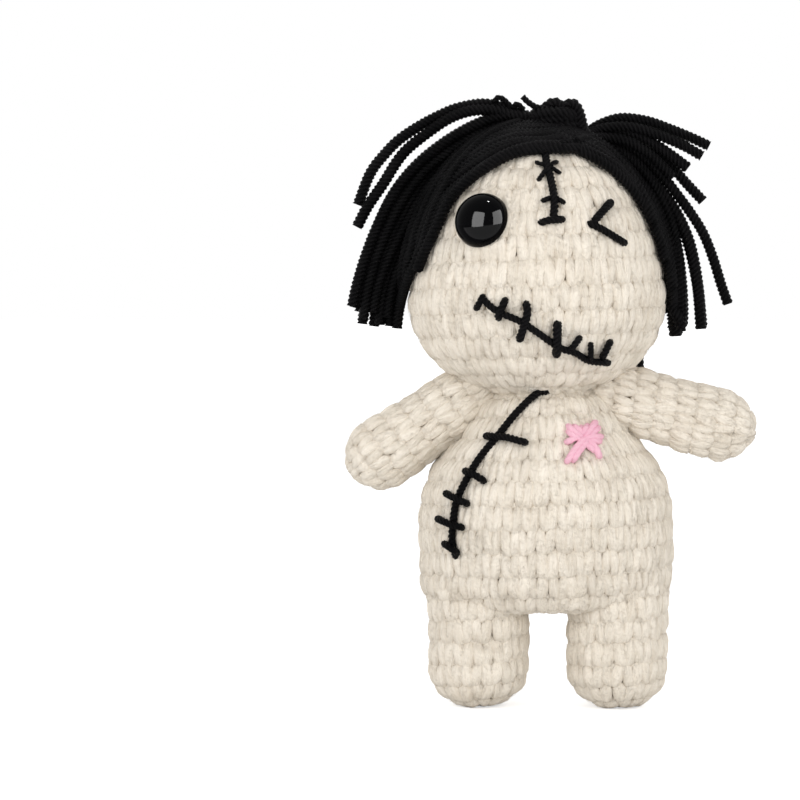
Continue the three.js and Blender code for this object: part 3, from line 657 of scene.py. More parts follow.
# Arms: two equal tubes worked from the hand up and sewn into the crease under the head. They are
# stuffed like the legs, and the right one hangs lower.
arm_length = 43
arm_radius = 9.3
hand_share = 0.785
arm_outline = (
    (1, 0), (0.985, 0.34), (0.97, 0.48), (0.91, 0.8), (0.82, 0.98), (0.7, 1), (0.52, 0.93), (0.34, 0.93),
    (0.2, 0.93), (0.08, 0.89), (-0.03, 0.75), (-0.1, 0.5), (-0.13, 0),
)
arm_sides = (
    {"side": "left", "sign": 1, "droop": 15, "hand": (44.39, 72.42)},
    {"side": "right", "sign": -1, "droop": 33, "hand": (-42.44, 64.5)},
)
for arm_side in arm_sides:
    side, sign = arm_side["side"], arm_side["sign"]
    hand = Vector((middle_x + arm_side["hand"][0], middle_y, arm_side["hand"][1]))
    tip = Matrix.Translation((0, 0, -arm_length * hand_share))
    turned = Matrix.Rotation(sign * math.radians(90 + arm_side["droop"]), 4, "Y")
    place = Matrix.Translation(hand) @ turned @ tip
    arm_form = stuffed_form(
        [(arm_radius * wide, arm_radius * wide, arm_length * (1 - along)) for along, wide in arm_outline],
        place @ Matrix.Translation((0, 0, arm_length)) @ Matrix.Rotation(math.pi, 4, "X"),
        seed=13 + len(side), rounding=3,
    )
    arm = crochet(f"{side}_arm_fabric", arm_form, stitches=12, pitch=5.3, lean=0.3, seed=21 + len(side))
    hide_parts(f"{side}_arm_shell", f"{side}_arm_stuffing")
    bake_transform(arm)

# Black yarn: an acrylic cord of four plies, twisted hard so that slanting ribs show, with a little
# fluff. It makes the hair and all the dark stitches.
black_light = (0.008, 0.0074, 0.008, 1)
# black_deep is both a random tone of the yarn and the painted shade in the grooves between its plies
black_deep = (0.0008, 0.0008, 0.001, 1)
black_yarn = yarn_material(
    "black_yarn", black_light, black_deep, rough=0.45, sheen=0.006, specular=0.07, bump=0.6, fuzz=1,
    mapped=False)
ply_count = 4
ply_depth = 0.18
twist_length = 4.6
yarn_step = 0.53
parts_between = 12
taper_reach = 3
fluff_spacing = 3
yarn_scatter = (0.94, 1.06)


def smooth_path(points, step=yarn_step):
    """Even points, a step apart, on a smooth curve through the given points."""
    points = [Vector(point) for point in points]
    ends = [points[0] * 2 - points[1]] + points + [points[-1] * 2 - points[-2]]
    fine = []
    for index in range(1, len(ends) - 2):
        before, start, end, after = ends[index - 1:index + 3]
        for part in range(parts_between):
            t = part / parts_between
            fine.append(0.5 * (
                2 * start + (end - before) * t + (2 * before - 5 * start + 4 * end - after) * t * t
                + (3 * start - before - 3 * end + after) * t ** 3
            ))
    fine.append(points[-1])
    fine = np.array(fine)
    length = np.concatenate([[0], np.cumsum(np.linalg.norm(np.diff(fine, axis=0), axis=1))])
    even = np.linspace(0, length[-1], max(3, round(length[-1] / step) + 1))
    return np.stack([np.interp(even, length, fine[:, k]) for k in range(fine.shape[1])], axis=1)


def ply_profile(plies, depth):
    """The cross-section of twisted yarn: one lobe for every ply."""
    profile = bmesh.new()
    bmesh.ops.create_circle(profile, segments=plies * 4, radius=1)
    for vertex in profile.verts:
        turn = math.atan2(vertex.co.y, vertex.co.x)
        vertex.co *= 1 + depth * math.cos(plies * turn)
    piece = placed("ply_profile", mesh_from("ply_profile", profile))
    with bpy.context.temp_override(
            active_object=piece, object=piece, selected_objects=[piece], selected_editable_objects=[piece]):
        bpy.ops.object.convert(target="CURVE")
    return piece


yarn_profile = ply_profile(ply_count, ply_depth)


def mark_grooves(mesh, paths, radius):
    """Marks how deep each point lies between the plies, for painted shade that darkens the grooves."""
    middles = [spot for path in paths for spot in path]
    tree = kdtree.KDTree(len(middles))
    for index, spot in enumerate(middles):
        tree.insert(spot, index)
    tree.balance()
    crest = radius * (1 + ply_depth)
    groove = radius * (1 - ply_depth)
    depth = [(crest - tree.find(vertex.co / MM)[2]) / (crest - groove) for vertex in mesh.vertices]
    attribute = mesh.attributes.new("hollow_shade", "FLOAT", "POINT")
    attribute.data.foreach_set("value", np.clip(depth, 0, 1).astype(np.float32))


def add_fluff(solid, paths, radius, rng):
    """Adds short loose fibres that stand off the yarn all along its length."""
    roots, bases = [], []
    for path in paths:
        for index in range(1, len(path) - 1, fluff_spacing):
            along = Vector(path[index + 1] - path[index - 1]).normalized()
            anywhere = Vector((rng.uniform(-1, 1), rng.uniform(-1, 1), rng.uniform(-1, 1)))
            out = along.cross(anywhere).normalized()
            lean = (along * rng.uniform(-1, 1) + out * rng.uniform(0.2, 0.8)).normalized()
            half = lean * fibre_half_length * rng.uniform(0.4, 0.9)
            roots.append(Vector(path[index]) + out * radius * 0.9 + half)
            bases.append((lean.cross(out).normalized() * fibre_half_width, half, out * 0.1))
    points = np.array(roots)[:, None, :] + fibre_points[None, :, :] @ np.array(bases)
    loose = bmesh.new()
    for _ in roots:
        loose.from_mesh(fibre)
    mesh = mesh_from("fluff", loose)
    mesh.vertices.foreach_set("co", (points * MM).ravel())
    solid.from_mesh(mesh)
    bpy.data.meshes.remove(mesh)


def twisted_yarn(name, paths, radius, material, seed=1, taper=0.0, profile=yarn_profile):
    """Cut lengths of twisted yarn along paths of points in millimetres. taper thins both ends."""
    rng = random.Random(seed)
    curve = bpy.data.curves.new(name, "CURVE")
    curve.dimensions = "3D"
    curve.bevel_mode = "OBJECT"
    curve.bevel_object = profile
    curve.use_fill_caps = True
    for path in paths:
        spline = curve.splines.new("POLY")
        spline.points.add(len(path) - 1)
        turn = rng.uniform(0, 2 * math.pi)
        thick = radius * rng.uniform(*yarn_scatter)
        for index, spot in enumerate(path):
            point = spline.points[index]
            near_end = min(index, len(path) - 1 - index) * yarn_step / (taper_reach * radius)
            point.co = (*(np.array(spot) * MM), 1)
            point.radius = thick * MM * (1 - taper * max(0, 1 - near_end))
            point.tilt = turn + index * 2 * math.pi * yarn_step / twist_length
    drawn = placed(name, curve)
    shape = drawn.evaluated_get(bpy.context.evaluated_depsgraph_get())
    mesh = bpy.data.meshes.new_from_object(shape)
    bpy.data.objects.remove(drawn)
    mesh.materials.clear()
    mesh.materials.append(material)
    solid = bmesh.new()
    solid.from_mesh(mesh)
    bmesh.ops.remove_doubles(solid, verts=solid.verts, dist=0.001 * MM)
    bmesh.ops.recalc_face_normals(solid, faces=solid.faces)
    add_fluff(solid, paths, radius, rng)
    solid.to_mesh(mesh)
    solid.free()
    mark_grooves(mesh, paths, radius)
    mesh.shade_smooth()
    mesh.name = name
    piece = placed(name, mesh)
    return piece


laid_step_px = 1.4
dive_steps = 4
least_facing = 0.6


def laid_on(tree, pixels, lift, start_lift, end_lift):
    """A path over a surface under pixels of the picture. Its ends dive to their own lifts."""
    flat = smooth_path([(*pixel, 0) for pixel in pixels], step=laid_step_px)
    last = len(flat) - 1
    path = []
    for index, (px, py, _) in enumerate(flat):
        spot, normal, _, _ = tree.ray_cast(stand, ray_of(px, py))
        if spot is None:
            continue
        from_start = min(1, index / dive_steps)
        from_end = min(1, (last - index) / dive_steps)
        height = lift + (start_lift - lift) * (1 - from_start) ** 2 + (end_lift - lift) * (1 - from_end) ** 2
        ray = ray_of(px, py)
        path.append(spot - ray * height / max(least_facing, abs(normal.dot(ray))))
    return smooth_path(path)


# Body seam: a long stitch of black yarn from the neck to the hip, with five short stitches over it.
# Both ends of every stitch go down through the fabric.
seam_radius = 0.85
seam_taper = 0.35
stitch_lift = 0.7
over_lift = 1.7
buried = -1.6
fabric_out = 0.25
torso_tree = form_tree(torso_form, fabric_out)
seam_lines = {
    "body_seam_line": (
        (549, 392.6), (538, 393), (518, 411), (499, 434), (476, 463), (457.6, 498), (453, 523.5), (452, 541),
        (456, 558)),
    "body_seam_stitch_1": ((485, 436), (505, 437), (527, 443)),
    "body_seam_stitch_2": ((464, 470.5), (475, 475), (485, 482)),
    "body_seam_stitch_3": ((445, 493), (457, 499), (468.5, 504.5)),
    "body_seam_stitch_4": ((437, 518.5), (450, 524), (463.5, 528)),
    "body_seam_stitch_5": ((443.5, 543), (452, 549), (458, 554)),
}
for name, line in seam_lines.items():
    lift = stitch_lift if name == "body_seam_line" else over_lift
    path = laid_on(torso_tree, line, lift, buried, buried)
    seam = twisted_yarn(
        name + "_yarn", [path], seam_radius, black_yarn, seed=len(name), taper=seam_taper)
    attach(seam, "torso")
    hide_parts(name)

# Heart: a small star of soft pink yarn, sewn on the chest in thick satin stitches that are drawn to
# one middle.
pink_light = (0.88, 0.54, 0.63, 1)
# pink_deep is both a random tone of the yarn and the painted shade in the grooves between its plies
pink_deep = (0.82, 0.44, 0.55, 1)
pink_yarn = yarn_material("pink_yarn", pink_light, pink_deep, bump=0.4, fuzz=1, mapped=False)
pink_radius = 0.85
pink_taper = 0.3
pink_lift = 1.0
pink_middle_lift = 0.4
pink_profile = ply_profile(3, 0.07)
heart_rays = {
    "heart_stitch_1": [((584, 438), (575, 432), (567, 425)), ((586, 435), (579, 430), (573, 425.5)),
                       ((583, 441), (574, 436), (567, 430))],
    "heart_stitch_2": [((584, 438), (590, 430), (596, 421.5)), ((587, 440), (593, 433), (599, 427)),
                       ((581, 437), (584, 431), (588, 425)), ((581, 435), (581, 430), (581, 426))],
    "heart_stitch_3": [((582, 440), (592, 437), (602, 437)), ((584, 443), (593, 441), (601, 442))],
    "heart_stitch_4": [((586, 440), (595, 447), (600, 458)), ((583, 442), (590, 447), (597, 452))],
    "heart_stitch_5": [((587, 436), (577, 447), (566, 463)), ((590, 438), (581, 449), (572, 462)),
                       ((582, 434), (573, 439), (565, 443))],
}
for name, lines in heart_rays.items():
    paths = [laid_on(torso_tree, line, pink_lift, pink_middle_lift, buried) for line in lines]
    ray = twisted_yarn(
        name + "_yarn", paths, pink_radius, pink_yarn, seed=len(name) + 4, taper=pink_taper,
        profile=pink_profile)
    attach(ray, "torso")
    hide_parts(name)
bpy.data.objects.remove(pink_profile)

# Face: a scar, a wink and a crooked mouth, all sewn with the black yarn. thick is the yarn's radius
# in millimetres and taper how much of it is lost at the ends, where it goes through the fabric.
over_face_lift = 1.15
face_tree = form_tree(head_form, fabric_out)
face_stitches = (
    {"name": "wink_upper_stitch", "thick": 1.0, "taper": 0.2, "lines": [((611, 202), (592, 224))]},
    {"name": "wink_lower_stitch", "thick": 0.9, "taper": 0.7, "lines": [
        ((587, 222), (604, 230.5), (626, 244))]},
    {"name": "scar_line", "thick": 0.92, "taper": 0.2, "lines": [
        ((545, 150), (547, 163), (551, 179), (554, 195), (554.5, 207), (553, 221))]},
    {"name": "scar_star_stitch_1", "thick": 0.5, "taper": 0.8, "lines": [
        ((535, 162), (548, 166)), ((550, 166), (561, 174))]},
    {"name": "scar_star_stitch_2", "thick": 0.55, "taper": 0.8, "lines": [
        ((549, 166), (537.5, 181)), ((548, 168), (553.5, 163), (558, 162))]},
    {"name": "scar_middle_stitch", "thick": 0.6, "taper": 0.75, "lines": [
        ((541, 201), (552, 197.5)), ((554, 196), (565, 203.5))]},
    {"name": "scar_bottom_stitch", "thick": 0.85, "taper": 0.3, "lines": [
        ((539, 223), (551, 220), (564, 219.5))]},
    {"name": "mouth_line", "thick": 0.8, "taper": 0.6, "lines": [
        ((480.5, 296.5), (489, 305), (499.6, 312.5), (519.5, 321), (535, 331), (549, 341), (562, 349),
         (575, 353), (589, 361), (609.5, 363))]},
    {"name": "mouth_stitch_1", "thick": 0.75, "taper": 0.6, "lines": [((484, 295), (475.5, 309.5))]},
    {"name": "mouth_stitch_2", "thick": 0.85, "taper": 0.6, "lines": [
        ((506.5, 298), (498.5, 315), (500, 320))]},
    {"name": "mouth_stitch_3", "thick": 0.9, "taper": 0.75, "lines": [((526, 301), (527, 315), (519, 341))]},
    {"name": "mouth_stitch_4", "thick": 1.0, "taper": 0.2, "lines": [((557.6, 322), (556.5, 355))]},
    {"name": "mouth_stitch_5", "thick": 0.75, "taper": 0.7, "lines": [((581, 336.5), (569.5, 351))]},
    {"name": "mouth_stitch_6", "thick": 0.65, "taper": 0.8, "lines": [((591, 342), (590.5, 362))]},
    {"name": "mouth_stitch_7", "thick": 0.8, "taper": 0.7, "lines": [((611, 340.5), (602, 358))]},
)
for stitch in face_stitches:
    name = stitch["name"]
    lift = stitch_lift if name in ("mouth_line", "scar_line", "wink_lower_stitch") else over_face_lift
    paths = [laid_on(face_tree, line, lift, buried, buried) for line in stitch["lines"]]
    yarn = twisted_yarn(
        name + "_yarn", paths, stitch["thick"], black_yarn, seed=len(name) + 9,
        taper=stitch["taper"])
    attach(yarn, "head")
    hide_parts(name)

# Eye: a black glossy safety eye, moulded as a domed button with a thin rounded rim. It sits on the
# fabric and is locked from inside the head by a plastic washer.
eye_pixel = (482.5, 221)
eye_radius = 7
dome_radius = 6.9
dome_height = 5.2
dome_steps = 12
eye_lift = 0.6
eye_turns = 56

# The rim: how far outside the eye's radius, and how high above its seat
rim_rows = ((-1.2, -1.2), (-0.25, -1.0), (0, -0.5))
spot, normal, _, _ = face_tree.ray_cast(stand, ray_of(*eye_pixel))
if normal.y > 0:
    normal = -normal
eye = bmesh.new()
profile = [(eye_radius + out, up) for out, up in rim_rows] + [(dome_radius, 0)]
for step in range(1, dome_steps + 1):
    angle = math.pi / 2 * step / dome_steps
    profile.append((dome_radius * math.cos(angle), dome_height * math.sin(angle)))
line = [eye.verts.new((0, 0, profile[0][1]))] + [eye.verts.new((wide, 0, up)) for wide, up in profile]
edges = [eye.edges.new(pair) for pair in zip(line, line[1:])]
bmesh.ops.spin(
    eye, geom=line + edges, axis=(0, 0, 1), cent=(0, 0, 0), steps=eye_turns, angle=2 * math.pi,
    use_merge=True)
bmesh.ops.remove_doubles(eye, verts=eye.verts, dist=0.001)
bmesh.ops.recalc_face_normals(eye, faces=eye.faces)
facing = Matrix.Translation(spot + normal * eye_lift) @ normal.to_track_quat("Z", "Y").to_matrix().to_4x4()
bmesh.ops.transform(eye, matrix=Matrix.Scale(MM, 4) @ facing, verts=eye.verts)
eye_mesh = mesh_from("eye_dome", eye)
eye_mesh.shade_smooth()
eye_dome = placed("eye_dome", eye_mesh)
eye_gloss, eye_nodes, eye_wire, eye_surface = new_material("eye_gloss", {"Specular IOR Level": 0.03})
eye_place = add_node(eye_nodes, "TexCoord")
scuffs = add_node(eye_nodes, "TexNoise", {"Scale": 700, "Detail": 5})
eye_wire(eye_place.outputs["Object"], scuffs.inputs["Vector"])
gloss = add_node(eye_nodes, "MapRange", {"To Min": 0.02, "To Max": 0.08})
eye_wire(scuffs.outputs["Fac"], gloss.inputs["Value"])
eye_wire(gloss.outputs["Result"], eye_surface.inputs["Roughness"])
tint = add_node(eye_nodes, "ValToRGB")
tint.color_ramp.elements[0].color = (0.0006, 0.0006, 0.0008, 1)
tint.color_ramp.elements[1].color = (0.0015, 0.0015, 0.002, 1)
eye_wire(scuffs.outputs["Fac"], tint.inputs["Fac"])
eye_wire(tint.outputs["Color"], eye_surface.inputs["Base Color"])
eye_mesh.materials.append(eye_gloss)
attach(eye_dome, "head")
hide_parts("eye_button")

# Hair: about a hundred and twenty cut lengths of the black yarn, tied in one bundle on top of the
# head and combed to the left, the right and the back. The outer ones spring away from the head.
# behind says how many millimetres a strand lies further back than the front of the head.
hair_radius = 1.27
first_clearance = 1.8
next_clearance = 2.1
odd_clearance = 0.6
layer_depth = 2.3
zigzag = 0.5
comb_step_px = 4
comb_tries = 4
comb_smoothing = 6
wander_across = 0.7
wander_down = 0.6
most_sway = 1.8
crown_start = 8
over_steps = 11
drop_steps = 4
least_drop = 1
flare = 0.015
flare_scatter = 0.01
head_centre = np.array(head_middle)


def off_head(spot, clearance):
    """The spot, moved straight out of the head if it is nearer than the clearance."""
    local = np.array(spot) - head_centre
    rise = crown_rise if local[2] > 0 else chin_drop
    room = np.array([head_half_width, head_half_depth, rise]) + clearance
    share = np.linalg.norm(local / room)
    return head_centre + local / min(1, share)


def combed(pixels, behind=0.0, cut=1.0):
    """A strand over the head and down, under pixels of the picture. cut is the share of it that stays."""
    flat = smooth_path([(*pixel, 0) for pixel in pixels], step=comb_step_px)
    flat = flat[:round(len(flat) * cut)]
    depths = []
    for px, py, _ in flat:
        depth = 0
        for _ in range(comb_tries):
            spot = seen(px, py, head_middle.y + depth) - head_middle
            rise = crown_rise if spot.z > 0 else chin_drop
            across = spot.x / (head_half_width + first_clearance)
            share = across ** 2 + (spot.z / (rise + first_clearance)) ** 2
            depth = -(head_half_depth + first_clearance) * math.sqrt(max(0, 1 - share))
        depths.append(depth)
    depths = np.array(depths)
    for _ in range(comb_smoothing):
        depths[1:-1] = (depths[:-2] + depths[1:-1] + depths[2:]) / 3
    path = []
    for (px, py, _), depth in zip(flat, depths):
        path.append(off_head(seen(px, py, head_middle.y + depth + behind), first_clearance))
    return smooth_path(path)


def between_paths(first, last, share):
    """The pixels at a share of the way from one line of pixels to another."""
    return [(a[0] + (b[0] - a[0]) * share, a[1] + (b[1] - a[1]) * share) for a, b in zip(first, last)]


def shaken(pixels, rng, most):
    """The same pixels with a slow wander, more of it towards the tip."""
    phase, size = rng.uniform(0, 6), rng.uniform(-most, most)
    count = len(pixels)
    moved = []
    for index, (px, py) in enumerate(pixels):
        across = size * math.sin(phase + index * wander_across) * index / count
        down = size * math.cos(phase + index * wander_down) * index / count
        moved.append((px + across, py + down))
    return moved


def hanging(turn, tip_height, clearance, rng):
    """A strand from the knot over the head towards a turn in degrees, and straight down to its tip."""
    path = []
    rooms = np.array([head_half_width, head_half_depth, crown_rise]) + clearance
    sway = rng.uniform(-most_sway, most_sway)
    lowest = math.degrees(math.acos(max(0, tip_height - head_middle.z) / rooms[2]))
    for step in range(over_steps + 1):
        polar = math.radians(crown_start + (lowest - crown_start) * step / over_steps)
        around = math.radians(turn + sway * math.sin(step / 3))
        direction = np.array([
            math.cos(around) * math.sin(polar), math.sin(around) * math.sin(polar), math.cos(polar)])
        path.append(head_centre + rooms * direction)
    low = path[-1]
    drop = low[2] - tip_height
    for step in range(1, drop_steps + 1 if drop > least_drop else 1):
        away = 1 + flare * step + rng.uniform(-flare_scatter, flare_scatter)
        x, y = (head_centre + (low - head_centre) * away)[:2]
        path.append(np.array([x, y, low[2] - drop * step / drop_steps]))
    return smooth_path(path)


# The outer strands of each side, one by one
right_strands = (
    {"behind": 1, "pixels": (
        (554, 124), (530, 117), (508, 109), (494, 105), (480, 104), (462, 107), (447, 112), (423, 124),
        (400, 139), (384, 155), (370, 174), (358, 205))},
    {"behind": -0.5, "pixels": (
        (554, 127), (530, 121), (508, 114), (490, 110), (470, 111), (450, 118), (430, 131),
        (408, 148.5), (396, 163), (383, 184), (368, 206), (357, 227))},
    {"behind": -1, "pixels": (
        (560, 146), (538, 146), (512, 152), (488, 165), (466, 182), (449, 201), (436, 228), (425, 250),
        (417, 270))},
    {"behind": -0.5, "pixels": (
        (598, 146), (570, 149), (541, 148.5), (515, 153), (490, 165), (467, 181), (446, 201),
        (432, 230), (416, 258))},
)
left_strands = (
    {"behind": 1, "pixels": (
        (582, 140), (590, 131), (603, 123), (622, 118), (647, 121), (670, 129), (692, 138),
        (709, 146))},
    {"behind": -1, "pixels": (
        (580, 141), (590, 134), (606, 128), (630, 127), (655, 134), (682, 145), (702, 156))},
    {"behind": 4, "pixels": ((580, 142), (594, 133), (616, 125), (640, 127), (662, 134), (688, 147))},
    {"behind": 0, "pixels": (
        (576, 138), (596, 132), (620, 131), (640, 136), (656, 145), (672, 156), (688, 168))},
    {"behind": 2, "pixels": (
        (576, 140), (600, 135), (626, 135), (645, 143), (660, 155), (674, 169), (687, 184),
        (703, 201))},
    {"behind": -2, "pixels": ((576, 142), (600, 138), (624, 140), (645, 151), (660, 164), (673, 178))},
    {"behind": -1, "pixels": (
        (574, 142), (600, 138), (624, 143), (645, 157), (662, 175), (676, 193), (690, 212), (703, 233),
        (713, 258), (721, 284), (728, 304))},
    {"behind": 0, "pixels": (
        (572, 144), (600, 143), (625, 152), (643, 167), (658, 185), (672, 205), (684, 228), (692, 252),
        (698, 287), (701, 329))},
    {"behind": 2.5, "pixels": (
        (572, 144), (600, 144), (624, 153), (642, 168), (657, 186), (671, 206), (683, 229), (691, 254),
        (698, 289), (702, 326))},
)

# The two side bunches: the outer strands, then layers of strands between an upper and a lower line of
# pixels, then strands that hang close to the head. Past edge_turn these would show on the face, so
# they are cut shorter there.
side_bunches = (
    {
        "name": "right", "layers": (9, 8, 8), "wander": 3, "shortest": 0.95,
        "hanging": 12, "first_turn": 152, "turn_step": 5.5, "tips": (109, 112),
        "edge_turn": 196, "edge_rise": 0.45, "sign": 1,
        "upper": (
            (572, 125), (538, 119), (508, 115), (480, 122), (447, 140), (416, 165), (393, 194), (377, 228),
            (366, 260), (358, 290), (352, 319)),
        "lower": (
            (582, 136), (552, 148), (517, 152), (492, 163), (467, 179), (445, 199), (431, 229), (416, 257),
            (405, 280), (398, 306), (396, 333)),
        "loose": right_strands,
    },
    {
        "name": "left", "layers": (6, 5, 5), "wander": 2, "shortest": 0.97,
        "hanging": 11, "first_turn": 28, "turn_step": -5.5, "tips": (97, 103),
        "edge_turn": -6, "edge_rise": 1.6, "sign": -1,
        "upper": (
            (564, 127), (594, 135), (614, 146), (633, 161), (650, 179), (663, 201), (672, 224), (678, 250),
            (681, 280), (682, 308), (681, 333)),
        "lower": (
            (552, 136), (580, 152), (603, 164), (620, 177), (636, 195), (649, 216), (659, 240), (667, 265),
            (671, 290), (673, 313), (674, 336)),
        "loose": left_strands,
    },
)
rng = random.Random(4)
hair_paths = {}
for bunch in side_bunches:
    paths = [combed(strand["pixels"], behind=strand["behind"]) for strand in bunch["loose"]]
    for layer, count in enumerate(bunch["layers"]):
        for index in range(count):
            share = (index + 0.5 * (layer % 2)) / (count - 1)
            line = between_paths(bunch["upper"], bunch["lower"], min(share, 1))
            pixels = shaken(line, rng, bunch["wander"])
            behind = layer_depth * layer + (zigzag if index % 2 else -zigzag)
            paths.append(combed(pixels, behind=behind, cut=rng.uniform(bunch["shortest"], 1)))
    for index in range(bunch["hanging"]):
        turn = bunch["first_turn"] + index * bunch["turn_step"]
        past_edge = max(0, bunch["sign"] * (turn - bunch["edge_turn"]))
        tip_height = rng.uniform(*bunch["tips"]) + bunch["edge_rise"] * past_edge
        paths.append(hanging(turn, tip_height, first_clearance + odd_clearance * (index % 2), rng))
    hair_paths[bunch["name"]] = paths

# The back: two layers that fill each other's gaps, and two long strands that show behind the cheek
back_count = 21
back_first_turn = 33
back_turn_step = 5.7
back_layer_shift = 2.8
back_tips = (97, 104)
back_right_turn = 135
back_right_cut = 9
cheek_strands = ((43, 84.5), (46, 86))
hair_paths["back"] = []
for layer in range(2):
    for index in range(back_count):
        turn = back_first_turn + back_turn_step * index + back_layer_shift * layer
        tip_height = rng.uniform(*back_tips) + (back_right_cut if turn > back_right_turn else 0)
        strand = hanging(turn, tip_height, first_clearance + next_clearance * layer, rng)
        hair_paths["back"].append(strand)
for turn, tip_height in cheek_strands:
    hair_paths["back"].append(hanging(turn, tip_height, first_clearance, rng))
for name, paths in hair_paths.items():
    hair = twisted_yarn(f"{name}_hair_yarn", paths, hair_radius, black_yarn, seed=len(name))
    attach(hair, f"{name}_hair")
    locks = sorted(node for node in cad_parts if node.startswith(f"{name}_lock"))
    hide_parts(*locks)

# Knot: the middle of the bundle is tied with three turns of the same yarn. Two bent loops and two
# thin cut ends stand up from it.
knot_middle = head_middle + Vector((5, 0, crown_rise))
knot_width = 5.5
knot_depth = 6
knot_yarn_radius = hair_radius * 1.25
loop_yarn_radius = hair_radius * 1.1
thin_yarn_radius = 0.7
knot_rise = 0.6
knot_pitch = 1.4
knot_wave = 0.9
knot_points = 12
loops_apart = 4
knot_turns = []
for turn in range(3):
    ring = []
    for step in range(knot_points + 1):
        angle = 2 * math.pi * step / knot_points
        ring.append(knot_middle + Vector((
            knot_width * math.cos(angle),
            knot_depth * math.sin(angle),
            knot_rise + knot_pitch * turn + knot_wave * math.cos(angle + turn),
        )))
    knot_turns.append(smooth_path(ring))
knot = twisted_yarn("knot_yarn", knot_turns, knot_yarn_radius, black_yarn, seed=6)
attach(knot, "head")
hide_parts("hair_knot")
loops = {
    "hair_loop_1": (
        ((548, 134), (544, 120), (546, 109), (553, 103.5), (560, 106), (563, 116), (560, 130)),
        ((556, 136), (551, 122), (552, 112), (556, 107), (559, 112), (558, 126)),
    ),
    "hair_loop_2": (
        ((568, 132), (566, 116), (567, 107), (572, 104), (577, 109), (581, 121), (584, 137)),
        ((572, 134), (571, 118), (572, 109), (575, 113), (577, 124), (579, 138)),
    ),
    "hair_cut_end": (
        ((556, 118), (546, 109), (536, 107), (528, 102), (522.5, 96.5)),
        ((524, 110), (517, 104), (512, 107), (503, 99), (497, 98), (494, 103)),
    ),
}
for name, lines in loops.items():
    radius = thin_yarn_radius if name == "hair_cut_end" else loop_yarn_radius
    paths = []
    for order, line in enumerate(lines):
        depth = head_middle.y - loops_apart + loops_apart * order
        paths.append(smooth_path([seen(px, py, depth) for px, py in line]))
    loop = twisted_yarn(name + "_yarn", paths, radius, black_yarn, seed=len(name))
    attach(loop, "head")
    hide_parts(name)
bpy.data.objects.remove(yarn_profile)

# Washer: the round plastic disc that is pushed onto the eye's shank inside the head and locks it.
# It is moulded in dull off-white plastic.
washer_plastic, washer_nodes, washer_wire, washer_surface = new_material(
    "washer_plastic", {"Roughness": 0.35})
washer_place = add_node(washer_nodes, "TexCoord")
grain = add_node(washer_nodes, "TexNoise", {"Scale": 900})
washer_ramp = add_node(washer_nodes, "ValToRGB")
washer_ramp.color_ramp.elements[0].color = (0.62, 0.61, 0.58, 1)
washer_ramp.color_ramp.elements[1].color = (0.74, 0.73, 0.70, 1)
washer_bump = add_node(washer_nodes, "Bump", {"Strength": 0.15, "Distance": 0.1 * MM})
washer_wire(washer_place.outputs["Object"], grain.inputs["Vector"])
washer_wire(grain.outputs["Fac"], washer_ramp.inputs["Fac"])
washer_wire(washer_ramp.outputs["Color"], washer_surface.inputs["Base Color"])
washer_wire(grain.outputs["Fac"], washer_bump.inputs["Height"])
washer_wire(washer_bump.outputs["Normal"], washer_surface.inputs["Normal"])
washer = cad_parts["eye_washer"]
washer.data.materials.clear()
washer.data.materials.append(washer_plastic)

# Studio: a white floor and surround, two softboxes beside the camera, and lamps that only the eye
# mirrors, as windows, a ceiling lamp and the bright table below.
floor_half = 4
floor_glow_strength = 0.55
surround_light = 0.85
lamp_aim = Vector((0, 0, 0.1))
sheen_place = (0, -0.72, 0.002)
facing_up = (0, 1, 0, 0)
floor_shape = bmesh.new()
bmesh.ops.create_grid(floor_shape, x_segments=1, y_segments=1, size=floor_half)
floor_mesh = mesh_from("floor", floor_shape)
floor = placed("floor", floor_mesh)
floor_paint, floor_nodes, floor_wire, floor_surface = new_material("floor_paint", {
    "Base Color": (0.9, 0.9, 0.9, 1), "Roughness": 0.9, "Specular IOR Level": 0,
    "Emission Color": (1, 1, 1, 1),
})
floor_paths = add_node(floor_nodes, "LightPath")
floor_glow = add_node(floor_nodes, "Math", {1: floor_glow_strength})
floor_glow.operation = "MULTIPLY"
floor_wire(floor_paths.outputs["Is Camera Ray"], floor_glow.inputs[0])
floor_wire(floor_glow.outputs["Value"], floor_surface.inputs["Emission Strength"])
floor_mesh.materials.append(floor_paint)

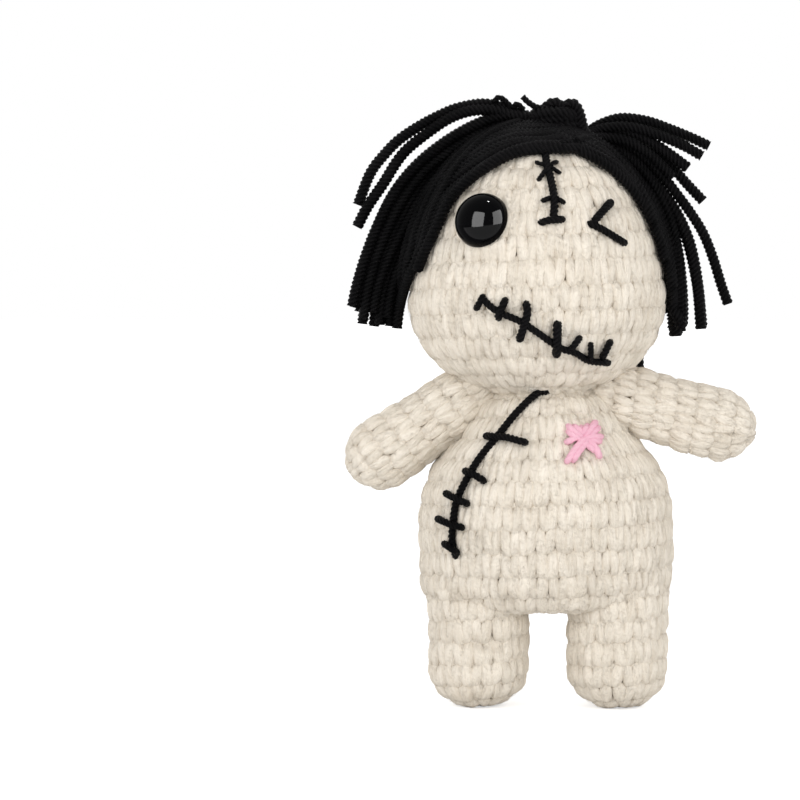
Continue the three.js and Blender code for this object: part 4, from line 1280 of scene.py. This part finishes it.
world = bpy.data.worlds.new("studio")
bpy.context.scene.world = world
world.use_nodes = True
world_nodes = world.node_tree.nodes
world_wire = world.node_tree.links.new
background = world_nodes["Background"]
background.inputs["Color"].default_value = (1, 1, 1, 1)
world_paths = add_node(world_nodes, "LightPath")
seen_white = world_paths.outputs["Is Camera Ray"]
for ray in ("Is Glossy Ray", "Is Transmission Ray"):
    either = add_node(world_nodes, "Math")
    either.operation = "MAXIMUM"
    world_wire(seen_white, either.inputs[0])
    world_wire(world_paths.outputs[ray], either.inputs[1])
    seen_white = either.outputs["Value"]
strength = add_node(world_nodes, "MapRange", {"To Min": surround_light, "To Max": 1})
world_wire(seen_white, strength.inputs["Value"])
world_wire(strength.outputs["Result"], background.inputs["Strength"])

eye_only = bpy.data.collections.new("eye_only")
eye_only.objects.link(eye_dome)


def softbox(name, turn, rise, away, size, power, mirrored=False):
    """A square lamp that faces the head, at a turn to the right of the camera and a rise in degrees.

    A mirrored one shows as a bright window in the eye and lights nothing else.
    """
    data = bpy.data.lights.new(name, "AREA")
    data.shape = "RECTANGLE"
    data.size, data.size_y = size
    data.energy = power
    lamp = placed(name, data)
    turn, rise = math.radians(turn), math.radians(rise)
    direction = Vector((math.sin(turn) * math.cos(rise), -math.cos(turn) * math.cos(rise), math.sin(rise)))
    lamp.location = lamp_aim + direction * away
    lamp.rotation_mode = "QUATERNION"
    lamp.rotation_quaternion = (-direction).to_track_quat("-Z", "Y")
    lamp.visible_glossy = mirrored
    lamp.visible_diffuse = not mirrored
    lamp.visible_camera = False
    if mirrored:
        lamp.light_linking.receiver_collection = eye_only
    return lamp


softbox("left_softbox", -35, 16, 1.0, (0.5, 0.6), 2.6)
softbox("right_softbox", 40, 12, 1.0, (0.5, 0.6), 2.3)
softbox("left_window", -32, 8, 1.1, (0.78, 1.45), 230, mirrored=True)
softbox("right_window", 55, 10, 1.1, (1.1, 1.45), 260, mirrored=True)
softbox("lamp_spot", 40, 84, 1.1, (0.07, 0.07), 10, mirrored=True)
table_sheen = softbox("table_sheen", 0, 0, 1.0, (1.8, 1.3), 40, mirrored=True)
table_sheen.location = sheen_place
table_sheen.rotation_quaternion = facing_up

bpy.context.scene.view_settings.view_transform = "Standard"
